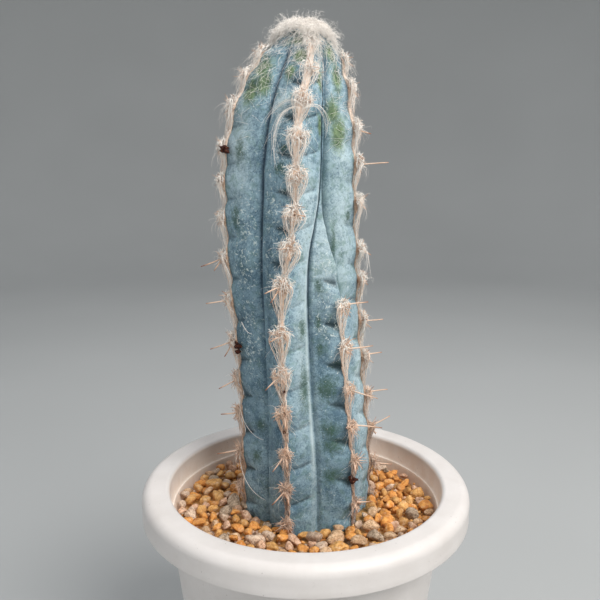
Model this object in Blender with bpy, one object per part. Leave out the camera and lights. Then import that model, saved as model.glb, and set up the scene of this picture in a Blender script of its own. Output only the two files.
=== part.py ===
"""A potted blue torch cactus: a ribbed column with woolly, spiny areoles in a white pot of soil and gravel.

Metres, +Z up. The origin is the centre of the pot's foot, and the plant's front faces -Y.
Heights named "above the rim" start at the top of the pot's rim.
Angles round the stem are degrees from the front, positive towards +X.
"""

import math
import random

import bmesh
import bpy
from mathutils import Matrix, Vector

# The pot: a thin moulded shell with a broad turned-down rim
POT_HEIGHT = 0.125
RIM_RADIUS = 0.075
RIM_DEPTH = 0.0127
RIM_SHOULDER = 0.0046
RIM_THICKNESS = 0.0032
SKIRT_THICKNESS = 0.0017
LIP_RADIUS = 0.0625
LIP_ROUNDING = 0.0036
LEDGE_BELOW_RIM = 0.0108
LEDGE_HEIGHT = 0.0008
DRAFT = 0.0004
BODY_RADIUS_TOP = 0.0633
BODY_RADIUS_FOOT = 0.0498
WALL = 0.0025
FOOT_WIDTH = 0.0050
FOOT_RECESS = 0.0025
EDGE_BEVEL = 0.0010
POT_SIDES = 40
DRAIN_RADIUS = 0.0045
DRAIN_RING = 0.032
DRAIN_COUNT = 5

# Clearance between neighbouring solids, and the distance below which two corners are one
GAP = 0.0003
MERGE_DISTANCE = 0.000005

# Soil and gravel, as heights above the rim
GRAVEL_FLAT = -0.0155
GRAVEL_UNDER = -0.0210
STONE_TOP_LIMIT = -0.0092
STONE_COUNT = 96
STONE_RADIUS = (0.0028, 0.0054)
STONE_SQUAT = (0.65, 0.85)
STONE_LIFT = (0.0010, 0.0024)
# How close two stones' centres may come, as a share of their radii's sum, for the first and the last ones
STONE_SPACING = (0.95, 0.75)

# The stem's thickness at its crests, (height above the rim, radius), and the long dome that ends it
STEM_GIRTH = ((-0.043, 0.0290), (0.008, 0.0295), (0.040, 0.0281), (0.074, 0.0277), (0.106, 0.0283),
              (0.139, 0.0281))
DOME_START = 0.139
STEM_TOP = 0.1992
STEM_FOOT = -0.0430
FURROW_RATIO = 0.77
FLANK_CURVE = 1.2
PODARIUM_SWELL = 0.0006
# The buried foot is drawn in below this height
TAPER_TOP = -0.0275
# The rings that round off the buried foot, above its end, and those below the tip, above the rim
FOOT_RINGS = (0.0002, 0.0015, 0.0060)
TIP_RINGS = (0.1925, 0.1950, 0.1972, 0.1986)

# The stem's slight bow, (height above the rim, sideways shift), and its place behind the pot's axis
STEM_BOW = ((-0.040, 0.0008), (0.010, 0.0005), (0.040, -0.0013), (0.074, -0.0041), (0.106, -0.0066),
            (0.139, -0.0075), (0.170, -0.0060), (0.199, -0.0019))
STEM_BACK = 0.0035

# Where the crests and the furrows run, (height above the rim, angle); rib 3 ends in the furrow beside rib 2
CRESTS = (
    ((0.000, -80), (0.100, -78), (0.150, -75), (0.190, -69)),
    ((0.000, -17), (0.055, -15.5), (0.075, -13), (0.094, -8), (0.110, -1), (0.127, 5), (0.160, 7),
     (0.190, 15)),
    ((0.085, 43), (0.100, 44), (0.112, 41), (0.122, 38), (0.133, 37), (0.160, 40), (0.190, 45)),
    ((0.000, 98), (0.060, 95), (0.100, 87), (0.140, 79), (0.190, 78)),
    ((0.000, 158), (0.100, 154), (0.190, 151)),
    ((0.000, 220), (0.190, 219)),
)
FURROWS = (
    ((0.000, -110), (0.190, -106)),
    ((0.000, -49), (0.042, -45), (0.070, -41), (0.104, -35), (0.129, -30), (0.160, -26), (0.190, -21)),
    ((0.040, 11), (0.075, 14), (0.094, 17), (0.109, 22), (0.119, 29), (0.132, 36), (0.160, 39), (0.190, 44)),
    ((0.050, 70), (0.080, 63), (0.100, 51), (0.113, 43.5), (0.122, 39.5), (0.133, 38), (0.160, 41),
     (0.190, 46)),
    ((0.000, 128), (0.100, 121), (0.190, 114)),
    ((0.000, 189), (0.190, 185)),
)
SHORT_RIB = 2
SHORT_RIB_FADE = (0.085, 0.133)
SHORT_RIB_TUFTS_END = 0.094
ACROSS_RIB = (-1.0, -0.58, -0.2, 0.0, 0.2, 0.58)
ROWS_PER_AREOLE = 4

# Each rib's areoles, as heights above the rim; the stem's rings follow those of one rib
AREOLES = (
    (-0.0200, -0.0033, 0.0143, 0.0326, 0.0488, 0.0665, 0.0849, 0.1038, 0.1212, 0.1363, 0.1501,
     0.1668, 0.1792, 0.1880, 0.1950),
    (-0.0265, -0.0103, 0.0062, 0.0216, 0.0402, 0.0573, 0.0746, 0.0952, 0.1103, 0.1238, 0.1394,
     0.1539, 0.1685, 0.1804, 0.1901, 0.1970),
    (-0.0210, -0.0037, 0.0163, 0.0319, 0.0491, 0.0674, 0.0853, 0.1040, 0.1205, 0.1355, 0.1505,
     0.1655, 0.1785, 0.1885, 0.1960),
    (-0.0280, -0.0120, 0.0038, 0.0213, 0.0381, 0.0567, 0.0745, 0.0933, 0.1069, 0.1276, 0.1441,
     0.1582, 0.1745, 0.1857, 0.1945),
    (-0.0190, -0.0030, 0.0130, 0.0300, 0.0480, 0.0656, 0.0843, 0.1019, 0.1169, 0.1317, 0.1467,
     0.1614, 0.1747, 0.1856, 0.1940),
    (-0.0275, -0.0113, 0.0049, 0.0208, 0.0393, 0.0567, 0.0745, 0.0940, 0.1098, 0.1240, 0.1393,
     0.1540, 0.1687, 0.1807, 0.1905, 0.1975),
)
RING_RIB = 1
TUFT_HALF_WIDTH = 0.0053
TUFT_HEIGHT = 0.0052
# The share of a full tuft at each quarter of the way from one areole up to the next
TUFT_SHARES = (1.0, 0.60, 0.24, 0.72)
NECK_SIZE = 0.0012
CHAIN_CLEARANCE = 1.8 * GAP
CHAIN_LOWEST = -0.0080
CHAIN_FADE = 0.1895
CHAIN_HIGHEST = 0.1926
SPINES_HIGHEST = 0.1860

# The felt crown over the growing tip
CROWN_EDGE = 0.1938
CROWN_TOP = 0.2034
CROWN_OVERHANG = 0.0026
CROWN_FULLNESS = 0.8
CROWN_SIDES = 15
CROWN_LEVELS = (0.0, 0.25, 0.5, 0.78)
CROWN_TUFTS = 24
CROWN_TUFT_TURN = 137.5
CROWN_TUFT_REACH = 0.62
CROWN_TUFT_ROOTS = (0.0018, 0.0077)
CROWN_TUFT_LENGTHS = (0.0045, 0.0105)
CROWN_TUFT_SPREAD = 0.0015
CROWN_TUFT_THICKNESS = 0.0024

# Spines, and the one dried bud; a spine's root is sunk in the wool
SPINE_LENGTH = 0.0105
SPINE_SUNK = 0.0015
RADIAL_SPINE_LENGTH = 0.0060
RADIAL_SPINE_SUNK = 0.0030
SPINE_ROOT = 0.0024
SPINE_THICKNESS = 0.0009
RADIAL_SPINES = 2
BUD_RIB = 0
BUD_HEIGHT = 0.150
BUD_RADIUS = 0.0026

SEED = 7


def clear_scene():
    for obj in list(bpy.data.objects):
        bpy.data.objects.remove(obj, do_unlink=True)


def make_material(name, colour, roughness):
    material = bpy.data.materials.new(name)
    material.use_nodes = True
    shader = material.node_tree.nodes["Principled BSDF"]
    shader.inputs["Base Color"].default_value = (*colour, 1.0)
    shader.inputs["Roughness"].default_value = roughness
    return material


def add_object(name, bm, material=None):
    """Turns a bmesh into an object whose faces point outwards."""
    bmesh.ops.recalc_face_normals(bm, faces=bm.faces)
    mesh = bpy.data.meshes.new(name)
    bm.to_mesh(mesh)
    bm.free()
    obj = bpy.data.objects.new(name, mesh)
    bpy.context.scene.collection.objects.link(obj)
    if material:
        mesh.materials.append(material)
    return obj


def add_boolean(obj, name, operation, cutter=None, collection=None):
    modifier = obj.modifiers.new(name, "BOOLEAN")
    modifier.operation = operation
    modifier.solver = "EXACT"
    if collection:
        modifier.operand_type = "COLLECTION"
        modifier.collection = collection
    else:
        modifier.object = cutter


def apply_modifiers(obj):
    """Bakes the modifiers into the mesh and keeps its largest body, so that no loose scrap is left."""
    bpy.context.view_layer.update()
    evaluated = obj.evaluated_get(bpy.context.evaluated_depsgraph_get())
    bm = bmesh.new()
    bm.from_mesh(evaluated.to_mesh())
    evaluated.to_mesh_clear()
    obj.modifiers.clear()
    unseen = set(bm.verts)
    bodies = []
    while unseen:
        front = [unseen.pop()]
        body = set(front)
        while front:
            vertex = front.pop()
            for edge in vertex.link_edges:
                other = edge.other_vert(vertex)
                if other in unseen:
                    unseen.remove(other)
                    body.add(other)
                    front.append(other)
        bodies.append(body)
    bodies.sort(key=len, reverse=True)
    for scrap in bodies[1:]:
        bmesh.ops.delete(bm, geom=list(scrap), context="VERTS")
    bm.to_mesh(obj.data)
    bm.free()


def fuse(obj, pieces):
    """Joins the pieces to the object with one union, then removes them."""
    collection = bpy.data.collections.new(obj.name + "_pieces")
    bpy.context.scene.collection.children.link(collection)
    for piece in pieces:
        bpy.context.scene.collection.objects.unlink(piece)
        collection.objects.link(piece)
    add_boolean(obj, "join", "UNION", collection=collection)
    apply_modifiers(obj)
    for piece in pieces:
        mesh = piece.data
        bpy.data.objects.remove(piece, do_unlink=True)
        bpy.data.meshes.remove(mesh)
    bpy.data.collections.remove(collection)


def hide_cutter(obj):
    obj.hide_render = True
    obj.display_type = "WIRE"


def shade_round(obj, angle=35):
    obj.data.shade_smooth()
    obj.data.set_sharp_from_angle(angle=math.radians(angle))


def ease(start, end, value):
    """0 before start, 1 after end, and a soft step between."""
    share = min(max((value - start) / (end - start), 0.0), 1.0)
    return share * share * (3 - 2 * share)


def along(points, value):
    """Reads a smooth curve through (place, value) points, flat past both ends."""
    if value <= points[0][0]:
        return points[0][1]
    if value >= points[-1][0]:
        return points[-1][1]
    i = max(k for k in range(len(points) - 1) if points[k][0] <= value)

    def slope(k):
        if k == 0 or k == len(points) - 1:
            return 0.0
        return (points[k + 1][1] - points[k - 1][1]) / (points[k + 1][0] - points[k - 1][0])

    width = points[i + 1][0] - points[i][0]
    t = (value - points[i][0]) / width
    return (
        (2 * t**3 - 3 * t**2 + 1) * points[i][1]
        + (t**3 - 2 * t**2 + t) * width * slope(i)
        + (3 * t**2 - 2 * t**3) * points[i + 1][1]
        + (t**3 - t**2) * width * slope(i + 1)
    )


def arc(centre_r, centre_z, radius, start, end, steps):
    """Profile points along an arc, from one angle to another in degrees."""
    points = []
    for k in range(steps + 1):
        angle = math.radians(start + (end - start) * k / steps)
        points.append((centre_r + radius * math.cos(angle), centre_z + radius * math.sin(angle)))
    return points


def turned_solid(name, profile, material):
    """Spins a profile of (radius, z) points, which starts and ends on the axis, into a closed solid."""
    bm = bmesh.new()
    verts = [bm.verts.new((r, 0, z)) for r, z in profile]
    edges = [bm.edges.new(pair) for pair in zip(verts, verts[1:])]
    bmesh.ops.spin(
        bm, geom=verts + edges, cent=(0, 0, 0), axis=(0, 0, 1), angle=2 * math.pi, steps=POT_SIDES,
        use_merge=True,
    )
    bmesh.ops.remove_doubles(bm, verts=bm.verts, dist=MERGE_DISTANCE)
    return add_object(name, bm, material)


def body_radius(z):
    """The pot body's outer radius at a height above the ground."""
    return BODY_RADIUS_FOOT + (BODY_RADIUS_TOP - BODY_RADIUS_FOOT) * z / (POT_HEIGHT - RIM_DEPTH)


def make_pot():
    foot = body_radius(0)
    rim_under = POT_HEIGHT - RIM_THICKNESS
    rim_bottom = POT_HEIGHT - RIM_DEPTH
    ledge = POT_HEIGHT - LEDGE_BELOW_RIM
    floor_top = FOOT_RECESS + WALL
    lip_wall = LIP_RADIUS - DRAFT
    skirt_wall = RIM_RADIUS - SKIRT_THICKNESS
    profile = [
        (0, FOOT_RECESS),
        (foot - FOOT_WIDTH - EDGE_BEVEL, FOOT_RECESS),
        (foot - FOOT_WIDTH, 0),
        (foot - EDGE_BEVEL, 0),
        (foot, EDGE_BEVEL),
        (body_radius(rim_bottom), rim_bottom - EDGE_BEVEL),
        (lip_wall + WALL, rim_under),
        (skirt_wall - EDGE_BEVEL, rim_under),
        (skirt_wall, rim_under - EDGE_BEVEL),
        (skirt_wall + DRAFT, rim_bottom),
        (RIM_RADIUS, rim_bottom),
    ]
    profile += arc(RIM_RADIUS - RIM_SHOULDER, POT_HEIGHT - RIM_SHOULDER, RIM_SHOULDER, 0, 90, 4)
    profile += arc(LIP_RADIUS + LIP_ROUNDING, POT_HEIGHT - LIP_ROUNDING, LIP_ROUNDING, 90, 180, 4)
    profile += [
        (lip_wall, ledge + LEDGE_HEIGHT),
        (body_radius(ledge) - WALL, ledge),
        (body_radius(2 * floor_top) - WALL, 2 * floor_top),
        (body_radius(floor_top) - 2 * WALL, floor_top),
        (0, floor_top),
    ]
    pot = turned_solid("pot", profile, make_material("white_plastic", (0.80, 0.78, 0.75), 0.38))

    drill = bmesh.new()
    for k in range(DRAIN_COUNT):
        angle = 2 * math.pi * k / DRAIN_COUNT
        x, y = DRAIN_RING * math.sin(angle), DRAIN_RING * math.cos(angle)
        place = Matrix.Translation((x, y, floor_top / 2))
        bmesh.ops.create_cone(
            drill, cap_ends=True, segments=12, radius1=DRAIN_RADIUS, radius2=DRAIN_RADIUS,
            depth=3 * floor_top, matrix=place,
        )
    drill = add_object("drain_holes_cutter", drill)
    hide_cutter(drill)
    add_boolean(pot, "drain_holes", "DIFFERENCE", drill)
    shade_round(pot)
    return pot


def inner_radius(height):
    """Inside radius of the pot at a height above the rim, below the ledge."""
    return body_radius(POT_HEIGHT + height) - WALL


def make_soil():
    top = POT_HEIGHT + GRAVEL_UNDER - GAP
    bottom = FOOT_RECESS + WALL + GAP
    hole_radius = STEM_GIRTH[1][1] + GAP
    hole_floor = POT_HEIGHT + STEM_FOOT - GAP
    profile = [
        (0, bottom),
        (body_radius(bottom) - 2 * WALL - GAP, bottom),
        (body_radius(bottom + 2 * WALL) - WALL - GAP, bottom + 2 * WALL),
        (inner_radius(GRAVEL_UNDER) - GAP, top),
        (hole_radius, top),
        (hole_radius, hole_floor),
        (0, hole_floor),
    ]
    soil = turned_solid("soil", profile, make_material("potting_soil", (0.09, 0.06, 0.04), 0.95))
    shade_round(soil)
    # The hole's centre follows the stem, a little behind the pot's axis
    for vertex in soil.data.vertices:
        if math.hypot(vertex.co.x, vertex.co.y) < hole_radius + GAP and vertex.co.z > bottom + WALL:
            vertex.co.x += STEM_BOW[0][1]
            vertex.co.y += STEM_BACK
    return soil


def girth(height):
    """Distance from the stem's middle line to its crests."""
    if height > DOME_START:
        share = min((height - DOME_START) / (STEM_TOP - DOME_START), 1.0)
        return STEM_GIRTH[-1][1] * math.sqrt(1 - share * share)
    return along(STEM_GIRTH, height)


def podarium(rib, height):
    """1 level with an areole, -1 midway between two."""
    heights = AREOLES[rib]
    if height <= heights[0] or height >= heights[-1]:
        return 0.0
    i = max(k for k in range(len(heights) - 1) if heights[k] <= height)
    return math.cos(2 * math.pi * (height - heights[i]) / (heights[i + 1] - heights[i]))


def rib_angle(rib, across, height):
    """Angle of a line on a rib: across is -1 at the furrow on its left, 0 at the crest, 1 at its right."""
    crest = along(CRESTS[rib], height)
    left = along(FURROWS[rib], height)
    right = along(FURROWS[(rib + 1) % 6], height)
    if rib == 5:
        right += 360
    if across < 0:
        return crest + across * (crest - left)
    return crest + across * (right - crest)


def skin(rib, across, height, grow=0.0):
    """A point of the stem's surface."""
    crest = girth(height)
    furrow = crest * (FURROW_RATIO + (1 - FURROW_RATIO) * 0.5 * ease(0.185, STEM_TOP, height))
    share = 1 - abs(across) ** FLANK_CURVE
    if rib == SHORT_RIB:
        share *= 1 - ease(*SHORT_RIB_FADE, height)
    radius = furrow + (crest - furrow) * share
    radius += PODARIUM_SWELL * podarium(rib, height) * share * ease(-0.02, 0.0, height)
    radius += grow
    angle = math.radians(rib_angle(rib, across, height))
    return Vector((
        along(STEM_BOW, height) + radius * math.sin(angle),
        STEM_BACK - radius * math.cos(angle),
        POT_HEIGHT + height,
    ))


def stem_rows():
    """Heights above the rim of the stem's rings, with a few round the buried foot and the tip."""
    heights = AREOLES[RING_RIB]
    rows = [STEM_FOOT + rise for rise in FOOT_RINGS] + [TAPER_TOP]
    for low, high in zip(heights[1:-2], heights[2:-1]):
        rows += [low + (high - low) * k / ROWS_PER_AREOLE for k in range(ROWS_PER_AREOLE)]
    return rows + [heights[-2], *TIP_RINGS]


def foot_taper(height):
    """Draws the buried foot in to a blunt end."""
    share = min((height - STEM_FOOT) / (TAPER_TOP - STEM_FOOT), 1.0)
    return math.sqrt(1 - (1 - share) ** 4)


def stem_mesh(grow):
    """The stem as a closed grid, its skin moved outwards by grow."""
    bm = bmesh.new()
    rings = []
    for height in stem_rows():
        middle = Vector((along(STEM_BOW, height), STEM_BACK, POT_HEIGHT + height))
        ring = []
        for rib in range(6):
            for across in ACROSS_RIB:
                place = skin(rib, across, height, grow)
                ring.append(bm.verts.new(middle + (place - middle) * foot_taper(height)))
        rings.append(ring)
    for low, high in zip(rings, rings[1:]):
        for k in range(len(low)):
            after = (k + 1) % len(low)
            bm.faces.new((low[k], low[after], high[after], high[k]))
    tip = bm.verts.new((along(STEM_BOW, STEM_TOP), STEM_BACK, POT_HEIGHT + STEM_TOP + grow))
    foot = bm.verts.new((along(STEM_BOW, STEM_FOOT), STEM_BACK, POT_HEIGHT + STEM_FOOT))
    for k in range(len(rings[0])):
        after = (k + 1) % len(rings[0])
        bm.faces.new((rings[-1][k], rings[-1][after], tip))
        bm.faces.new((rings[0][after], rings[0][k], foot))
    return bm


def make_stem():
    stem = add_object("stem", stem_mesh(0), make_material("blue_skin", (0.16, 0.31, 0.36), 0.6))
    shade_round(stem, 50)
    return stem


def make_stem_cutter():
    cutter = add_object("stem_clearance_cutter", stem_mesh(GAP * 1.25))
    hide_cutter(cutter)
    return cutter


def stone_places(outer, rng):
    """Scatters the stones' centres between the stem and the pot's wall: [(centre, radius)]."""
    stem = Vector((along(STEM_BOW, 0), STEM_BACK, 0))
    stem_radius = girth(0)
    placed = []
    while len(placed) < STONE_COUNT:
        radius = rng.uniform(*STONE_RADIUS)
        angle = rng.uniform(-math.pi, math.pi)
        reach = math.sqrt(rng.uniform((stem_radius / 2) ** 2, outer**2))
        spot = Vector((reach * math.sin(angle), -reach * math.cos(angle), 0))
        spacing = STONE_SPACING[0] if len(placed) < 0.7 * STONE_COUNT else STONE_SPACING[1]
        inside = reach + radius < outer and (spot - stem).length > 0.93 * stem_radius + 0.5 * radius
        if inside and all((spot - other).length > spacing * (radius + size) for other, size in placed):
            placed.append((spot, radius))
    return placed


def make_stone(name, spot, radius, rng):
    """A squat, uneven stone, half sunk in the bed."""
    bm = bmesh.new()
    bmesh.ops.create_icosphere(bm, subdivisions=1, radius=radius)
    for vertex in bm.verts:
        vertex.co *= rng.uniform(0.88, 1.08)
    squat = Matrix.Diagonal((1.0, rng.uniform(0.75, 0.95), rng.uniform(*STONE_SQUAT), 1.0))
    turn = Matrix.Rotation(rng.uniform(0, math.pi), 4, "Z") @ Matrix.Rotation(rng.uniform(-0.3, 0.3), 4, "X")
    bmesh.ops.transform(bm, matrix=turn @ squat, verts=bm.verts)
    top = max(vertex.co.z for vertex in bm.verts)
    height = min(GRAVEL_FLAT + rng.uniform(*STONE_LIFT), STONE_TOP_LIMIT - top)
    bmesh.ops.translate(bm, vec=spot + Vector((0, 0, POT_HEIGHT + height)), verts=bm.verts)
    return add_object(name, bm)


def make_gravel(cutter, rng):
    """A bed of gravel round the stem, with single stones standing out of its top."""
    outer = inner_radius(GRAVEL_UNDER) - GAP
    profile = [
        (0, POT_HEIGHT + GRAVEL_UNDER),
        (outer, POT_HEIGHT + GRAVEL_UNDER),
        (outer, POT_HEIGHT + GRAVEL_FLAT),
        (0, POT_HEIGHT + GRAVEL_FLAT),
    ]
    gravel = turned_solid("gravel", profile, make_material("gravel", (0.55, 0.36, 0.20), 0.85))
    stones = []
    for spot, radius in stone_places(outer, rng):
        stones.append(make_stone(f"stone_{len(stones)}", spot, radius, rng))
    fuse(gravel, stones)
    add_boolean(gravel, "clear_of_stem", "DIFFERENCE", cutter)
    apply_modifiers(gravel)
    return gravel


def crest_frame(rib, height):
    """A crest point with its three directions: along the rib, out of the skin, and sideways."""
    place = skin(rib, 0, height)
    up = (skin(rib, 0, height + 0.0005) - skin(rib, 0, height - 0.0005)).normalized()
    angle = math.radians(rib_angle(rib, 0, height))
    radial = Vector((math.sin(angle), -math.cos(angle), 0))
    out = (radial - up * radial.dot(up)).normalized()
    return place, up, out, up.cross(out)


def tuft_size(height):
    """Tufts are smaller and flatter towards the tip."""
    return 1 - 0.35 * ease(0.165, 0.195, height)


def tuft_share(rib, height):
    """How full the chain is at a height: 1 at an areole, thin at the neck between two and at its top end."""
    heights = AREOLES[rib]
    i = max(k for k in range(len(heights) - 1) if heights[k] <= height)
    quarter = 4 * (height - heights[i]) / (heights[i + 1] - heights[i])
    low = int(quarter)
    rise = quarter - low
    share = TUFT_SHARES[low % 4] * (1 - rise) + TUFT_SHARES[(low + 1) % 4] * rise
    return share * (1 - 0.7 * ease(CHAIN_FADE, CHAIN_HIGHEST, height))


def chain_section(rib, height):
    """Six points round the chain, three of them just clear of the skin below it."""
    place, _, out, side = crest_frame(rib, height)
    share = tuft_share(rib, height) * tuft_size(height)
    half = max(TUFT_HALF_WIDTH * share, NECK_SIZE)
    tall = max(TUFT_HEIGHT * share, NECK_SIZE)
    crest = rib_angle(rib, 0, height)
    lift = out * CHAIN_CLEARANCE
    feet = []
    for direction in (-1, 1):
        reach = girth(height) * math.radians(abs(rib_angle(rib, direction, height) - crest))
        feet.append(skin(rib, direction * min(half / reach, 0.85), height) + lift)
    return (
        feet[0],
        place + side * (-0.72 * half) + out * 0.62 * tall,
        place + out * tall,
        place + side * (0.72 * half) + out * 0.62 * tall,
        feet[1],
        place + lift,
    )


def chain_mesh(rib, highest):
    """A lofted band down a crest that swells at each areole; its rings lie level with the stem's."""
    bm = bmesh.new()
    rows = [row for row in stem_rows() if CHAIN_LOWEST <= row <= highest]
    loops = [[bm.verts.new(point) for point in chain_section(rib, row)] for row in rows]
    for low, high in zip(loops, loops[1:]):
        for k in range(6):
            after = (k + 1) % 6
            bm.faces.new((low[k], low[after], high[after], high[k]))
    bm.faces.new(loops[0])
    bm.faces.new(loops[-1])
    return bm


def make_spine(name, root, direction, length, thickness):
    """A three-sided pyramid."""
    bm = bmesh.new()
    turn = direction.to_track_quat("Z", "Y").to_matrix().to_4x4()
    bmesh.ops.create_cone(
        bm, cap_ends=True, segments=3, radius1=thickness / 2, radius2=0.0, depth=length,
        matrix=Matrix.Translation(root + direction * (length / 2)) @ turn,
    )
    bmesh.ops.remove_doubles(bm, verts=bm.verts, dist=MERGE_DISTANCE)
    return add_object(name, bm)


def areole_spines(rib, height, rng):
    """One long spine and a few short ones round it, rooted inside the tuft: (root, direction, length)."""
    place, up, out, side = crest_frame(rib, height)
    root = place + out * SPINE_ROOT * tuft_size(height)
    heading = (out + up * rng.uniform(-0.4, 0.1) + side * rng.uniform(-0.3, 0.3)).normalized()
    spines = [(root, heading, SPINE_LENGTH + SPINE_SUNK)]
    turn = rng.uniform(0, 360)
    for k in range(RADIAL_SPINES):
        angle = math.radians(turn + 360 * (k + rng.uniform(-0.15, 0.15)) / RADIAL_SPINES)
        heading = (side * math.cos(angle) + up * math.sin(angle) + out * 0.8).normalized()
        spines.append((root, heading, RADIAL_SPINE_LENGTH + RADIAL_SPINE_SUNK))
    lowest = POT_HEIGHT + CHAIN_LOWEST
    highest = POT_HEIGHT + CROWN_EDGE - GAP
    return [spine for spine in spines if lowest < (spine[0] + spine[1] * spine[2]).z < highest]


def make_bud(rib, height):
    """A dried flower bud sitting in the wool."""
    place, _, out, _ = crest_frame(rib, height)
    bm = bmesh.new()
    bmesh.ops.create_icosphere(bm, subdivisions=1, radius=BUD_RADIUS)
    bmesh.ops.translate(bm, vec=place + out * TUFT_HEIGHT * 0.9, verts=bm.verts)
    return add_object("bud", bm)


def make_areoles(rib, material, rng):
    """The chain of woolly, spiny areoles that runs down one crest."""
    highest = SHORT_RIB_TUFTS_END if rib == SHORT_RIB else CHAIN_HIGHEST
    chain = add_object(f"areoles_rib_{rib + 1}", chain_mesh(rib, highest), material)
    pieces = []
    for height in AREOLES[rib]:
        if CHAIN_LOWEST < height < min(highest, SPINES_HIGHEST):
            for root, heading, length in areole_spines(rib, height, rng):
                pieces.append(make_spine(f"spine_{len(pieces)}", root, heading, length, SPINE_THICKNESS))
    if rib == BUD_RIB:
        pieces.append(make_bud(rib, BUD_HEIGHT))
    fuse(chain, pieces)
    return chain


def make_crown(material, stem_cutter, rng):
    """The felt cap over the growing tip, with loose tufts standing out of it."""
    middle = Vector((along(STEM_BOW, CROWN_EDGE), STEM_BACK, 0))
    edge_radius = girth(CROWN_EDGE) + CROWN_OVERHANG
    rise = CROWN_TOP - CROWN_EDGE
    bm = bmesh.new()
    rings = []
    for level in CROWN_LEVELS:
        z = POT_HEIGHT + CROWN_EDGE + rise * math.sin(level * math.pi / 2)
        ring = []
        for k in range(CROWN_SIDES):
            angle = 2 * math.pi * k / CROWN_SIDES
            radius = edge_radius * math.cos(level * math.pi / 2) ** CROWN_FULLNESS * rng.uniform(0.94, 1.05)
            x, y = radius * math.sin(angle), -radius * math.cos(angle)
            ring.append(bm.verts.new(middle + Vector((x, y, z))))
        rings.append(ring)
    for low, high in zip(rings, rings[1:]):
        for k in range(CROWN_SIDES):
            after = (k + 1) % CROWN_SIDES
            bm.faces.new((low[k], low[after], high[after], high[k]))
    bm.faces.new(rings[0])
    tip = bm.verts.new(middle + Vector((0, 0, POT_HEIGHT + CROWN_TOP)))
    for k in range(CROWN_SIDES):
        bm.faces.new((rings[-1][k], rings[-1][(k + 1) % CROWN_SIDES], tip))
    crown = add_object("crown_wool", bm, material)

    lowest_root, highest_root = CROWN_TUFT_ROOTS
    shortest, longest = CROWN_TUFT_LENGTHS
    tufts = []
    for k in range(CROWN_TUFTS):
        angle = math.radians(k * CROWN_TUFT_TURN)
        level = math.sqrt((k + 0.5) / CROWN_TUFTS)
        lean = Vector((math.sin(angle) * level, -math.cos(angle) * level, 0))
        root = middle + lean * edge_radius * CROWN_TUFT_REACH
        root.z = POT_HEIGHT + CROWN_EDGE + highest_root + (lowest_root - highest_root) * level**2
        heading = (lean + Vector((0, 0, 0.15 + 0.6 * (1 - level)))).normalized()
        length = shortest + (longest - shortest) * level + rng.uniform(0, CROWN_TUFT_SPREAD)
        tufts.append(make_spine(f"tuft_{k}", root, heading, length, CROWN_TUFT_THICKNESS))
    fuse(crown, tufts)
    add_boolean(crown, "clear_of_stem", "DIFFERENCE", stem_cutter)
    apply_modifiers(crown)
    return crown


def main():
    clear_scene()
    rng = random.Random(SEED)
    make_pot()
    make_soil()
    make_stem()
    stem_cutter = make_stem_cutter()
    make_gravel(stem_cutter, rng)
    wool = make_material("cream_wool", (0.66, 0.56, 0.45), 0.9)
    for rib in range(6):
        make_areoles(rib, wool, rng)
    make_crown(make_material("white_felt", (0.78, 0.72, 0.66), 0.9), stem_cutter, rng)


main()
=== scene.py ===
"""Looks of a potted blue torch cactus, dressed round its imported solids.

Metres, +Z up. The origin is the centre of the pot's foot, and the plant's front faces -Y.
Heights are above the top of the pot's rim. Angles round the stem are degrees from the front, positive
towards +X. A place on the stem is (rib, across, height): across is -1 at the furrow on the rib's left,
0 at its crest and 1 at the furrow on its right.
"""

import math

import bpy
import numpy as np
from mathutils import Matrix, Vector, noise


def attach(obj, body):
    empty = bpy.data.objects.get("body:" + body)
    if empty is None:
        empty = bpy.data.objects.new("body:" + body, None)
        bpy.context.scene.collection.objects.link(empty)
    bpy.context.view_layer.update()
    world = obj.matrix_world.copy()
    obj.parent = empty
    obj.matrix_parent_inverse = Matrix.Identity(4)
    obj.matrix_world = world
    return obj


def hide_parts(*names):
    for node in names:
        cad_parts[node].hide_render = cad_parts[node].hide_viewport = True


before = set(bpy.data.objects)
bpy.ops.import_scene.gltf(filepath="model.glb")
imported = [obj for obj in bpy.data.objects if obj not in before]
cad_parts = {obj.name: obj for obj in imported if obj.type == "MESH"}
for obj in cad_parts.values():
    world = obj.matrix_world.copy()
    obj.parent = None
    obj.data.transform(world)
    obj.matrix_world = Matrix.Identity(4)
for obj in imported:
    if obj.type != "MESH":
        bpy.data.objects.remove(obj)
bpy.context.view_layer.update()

# The pot
POT_HEIGHT = 0.125
RIM_RADIUS = 0.075
RIM_DEPTH = 0.0127
RIM_SHOULDER = 0.0046
RIM_THICKNESS = 0.0032
SKIRT_THICKNESS = 0.0017
LIP_RADIUS = 0.0625
LIP_ROUNDING = 0.0022
LEDGE_BELOW_RIM = 0.0108
DRAFT = 0.0004
BODY_RADIUS_TOP = 0.0633
BODY_RADIUS_FOOT = 0.0498
WALL = 0.0025
FOOT_WIDTH = 0.0050
FOOT_RECESS = 0.0025
POT_SEGMENTS = 200
DRAIN_RADIUS = 0.0045
DRAIN_RING = 0.032
DRAIN_COUNT = 5
DRILL_SIDES = 32

# The gravel
GAP = 0.0003
GRAVEL_UNDER = -0.0210
GRIT_TOP = -0.0166
# Layers of loose stones: their tops' height, how many, least and greatest half width, spacing, tries
LAYERS = {
    "top": (-0.0120, 520, 0.0013, 0.0031, 0.88, 60000),
    "under": (-0.0148, 200, 0.0018, 0.0030, 0.80, 9000),
    "grit": (-0.0146, 500, 0.0007, 0.0013, 0.80, 12000),
}
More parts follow.
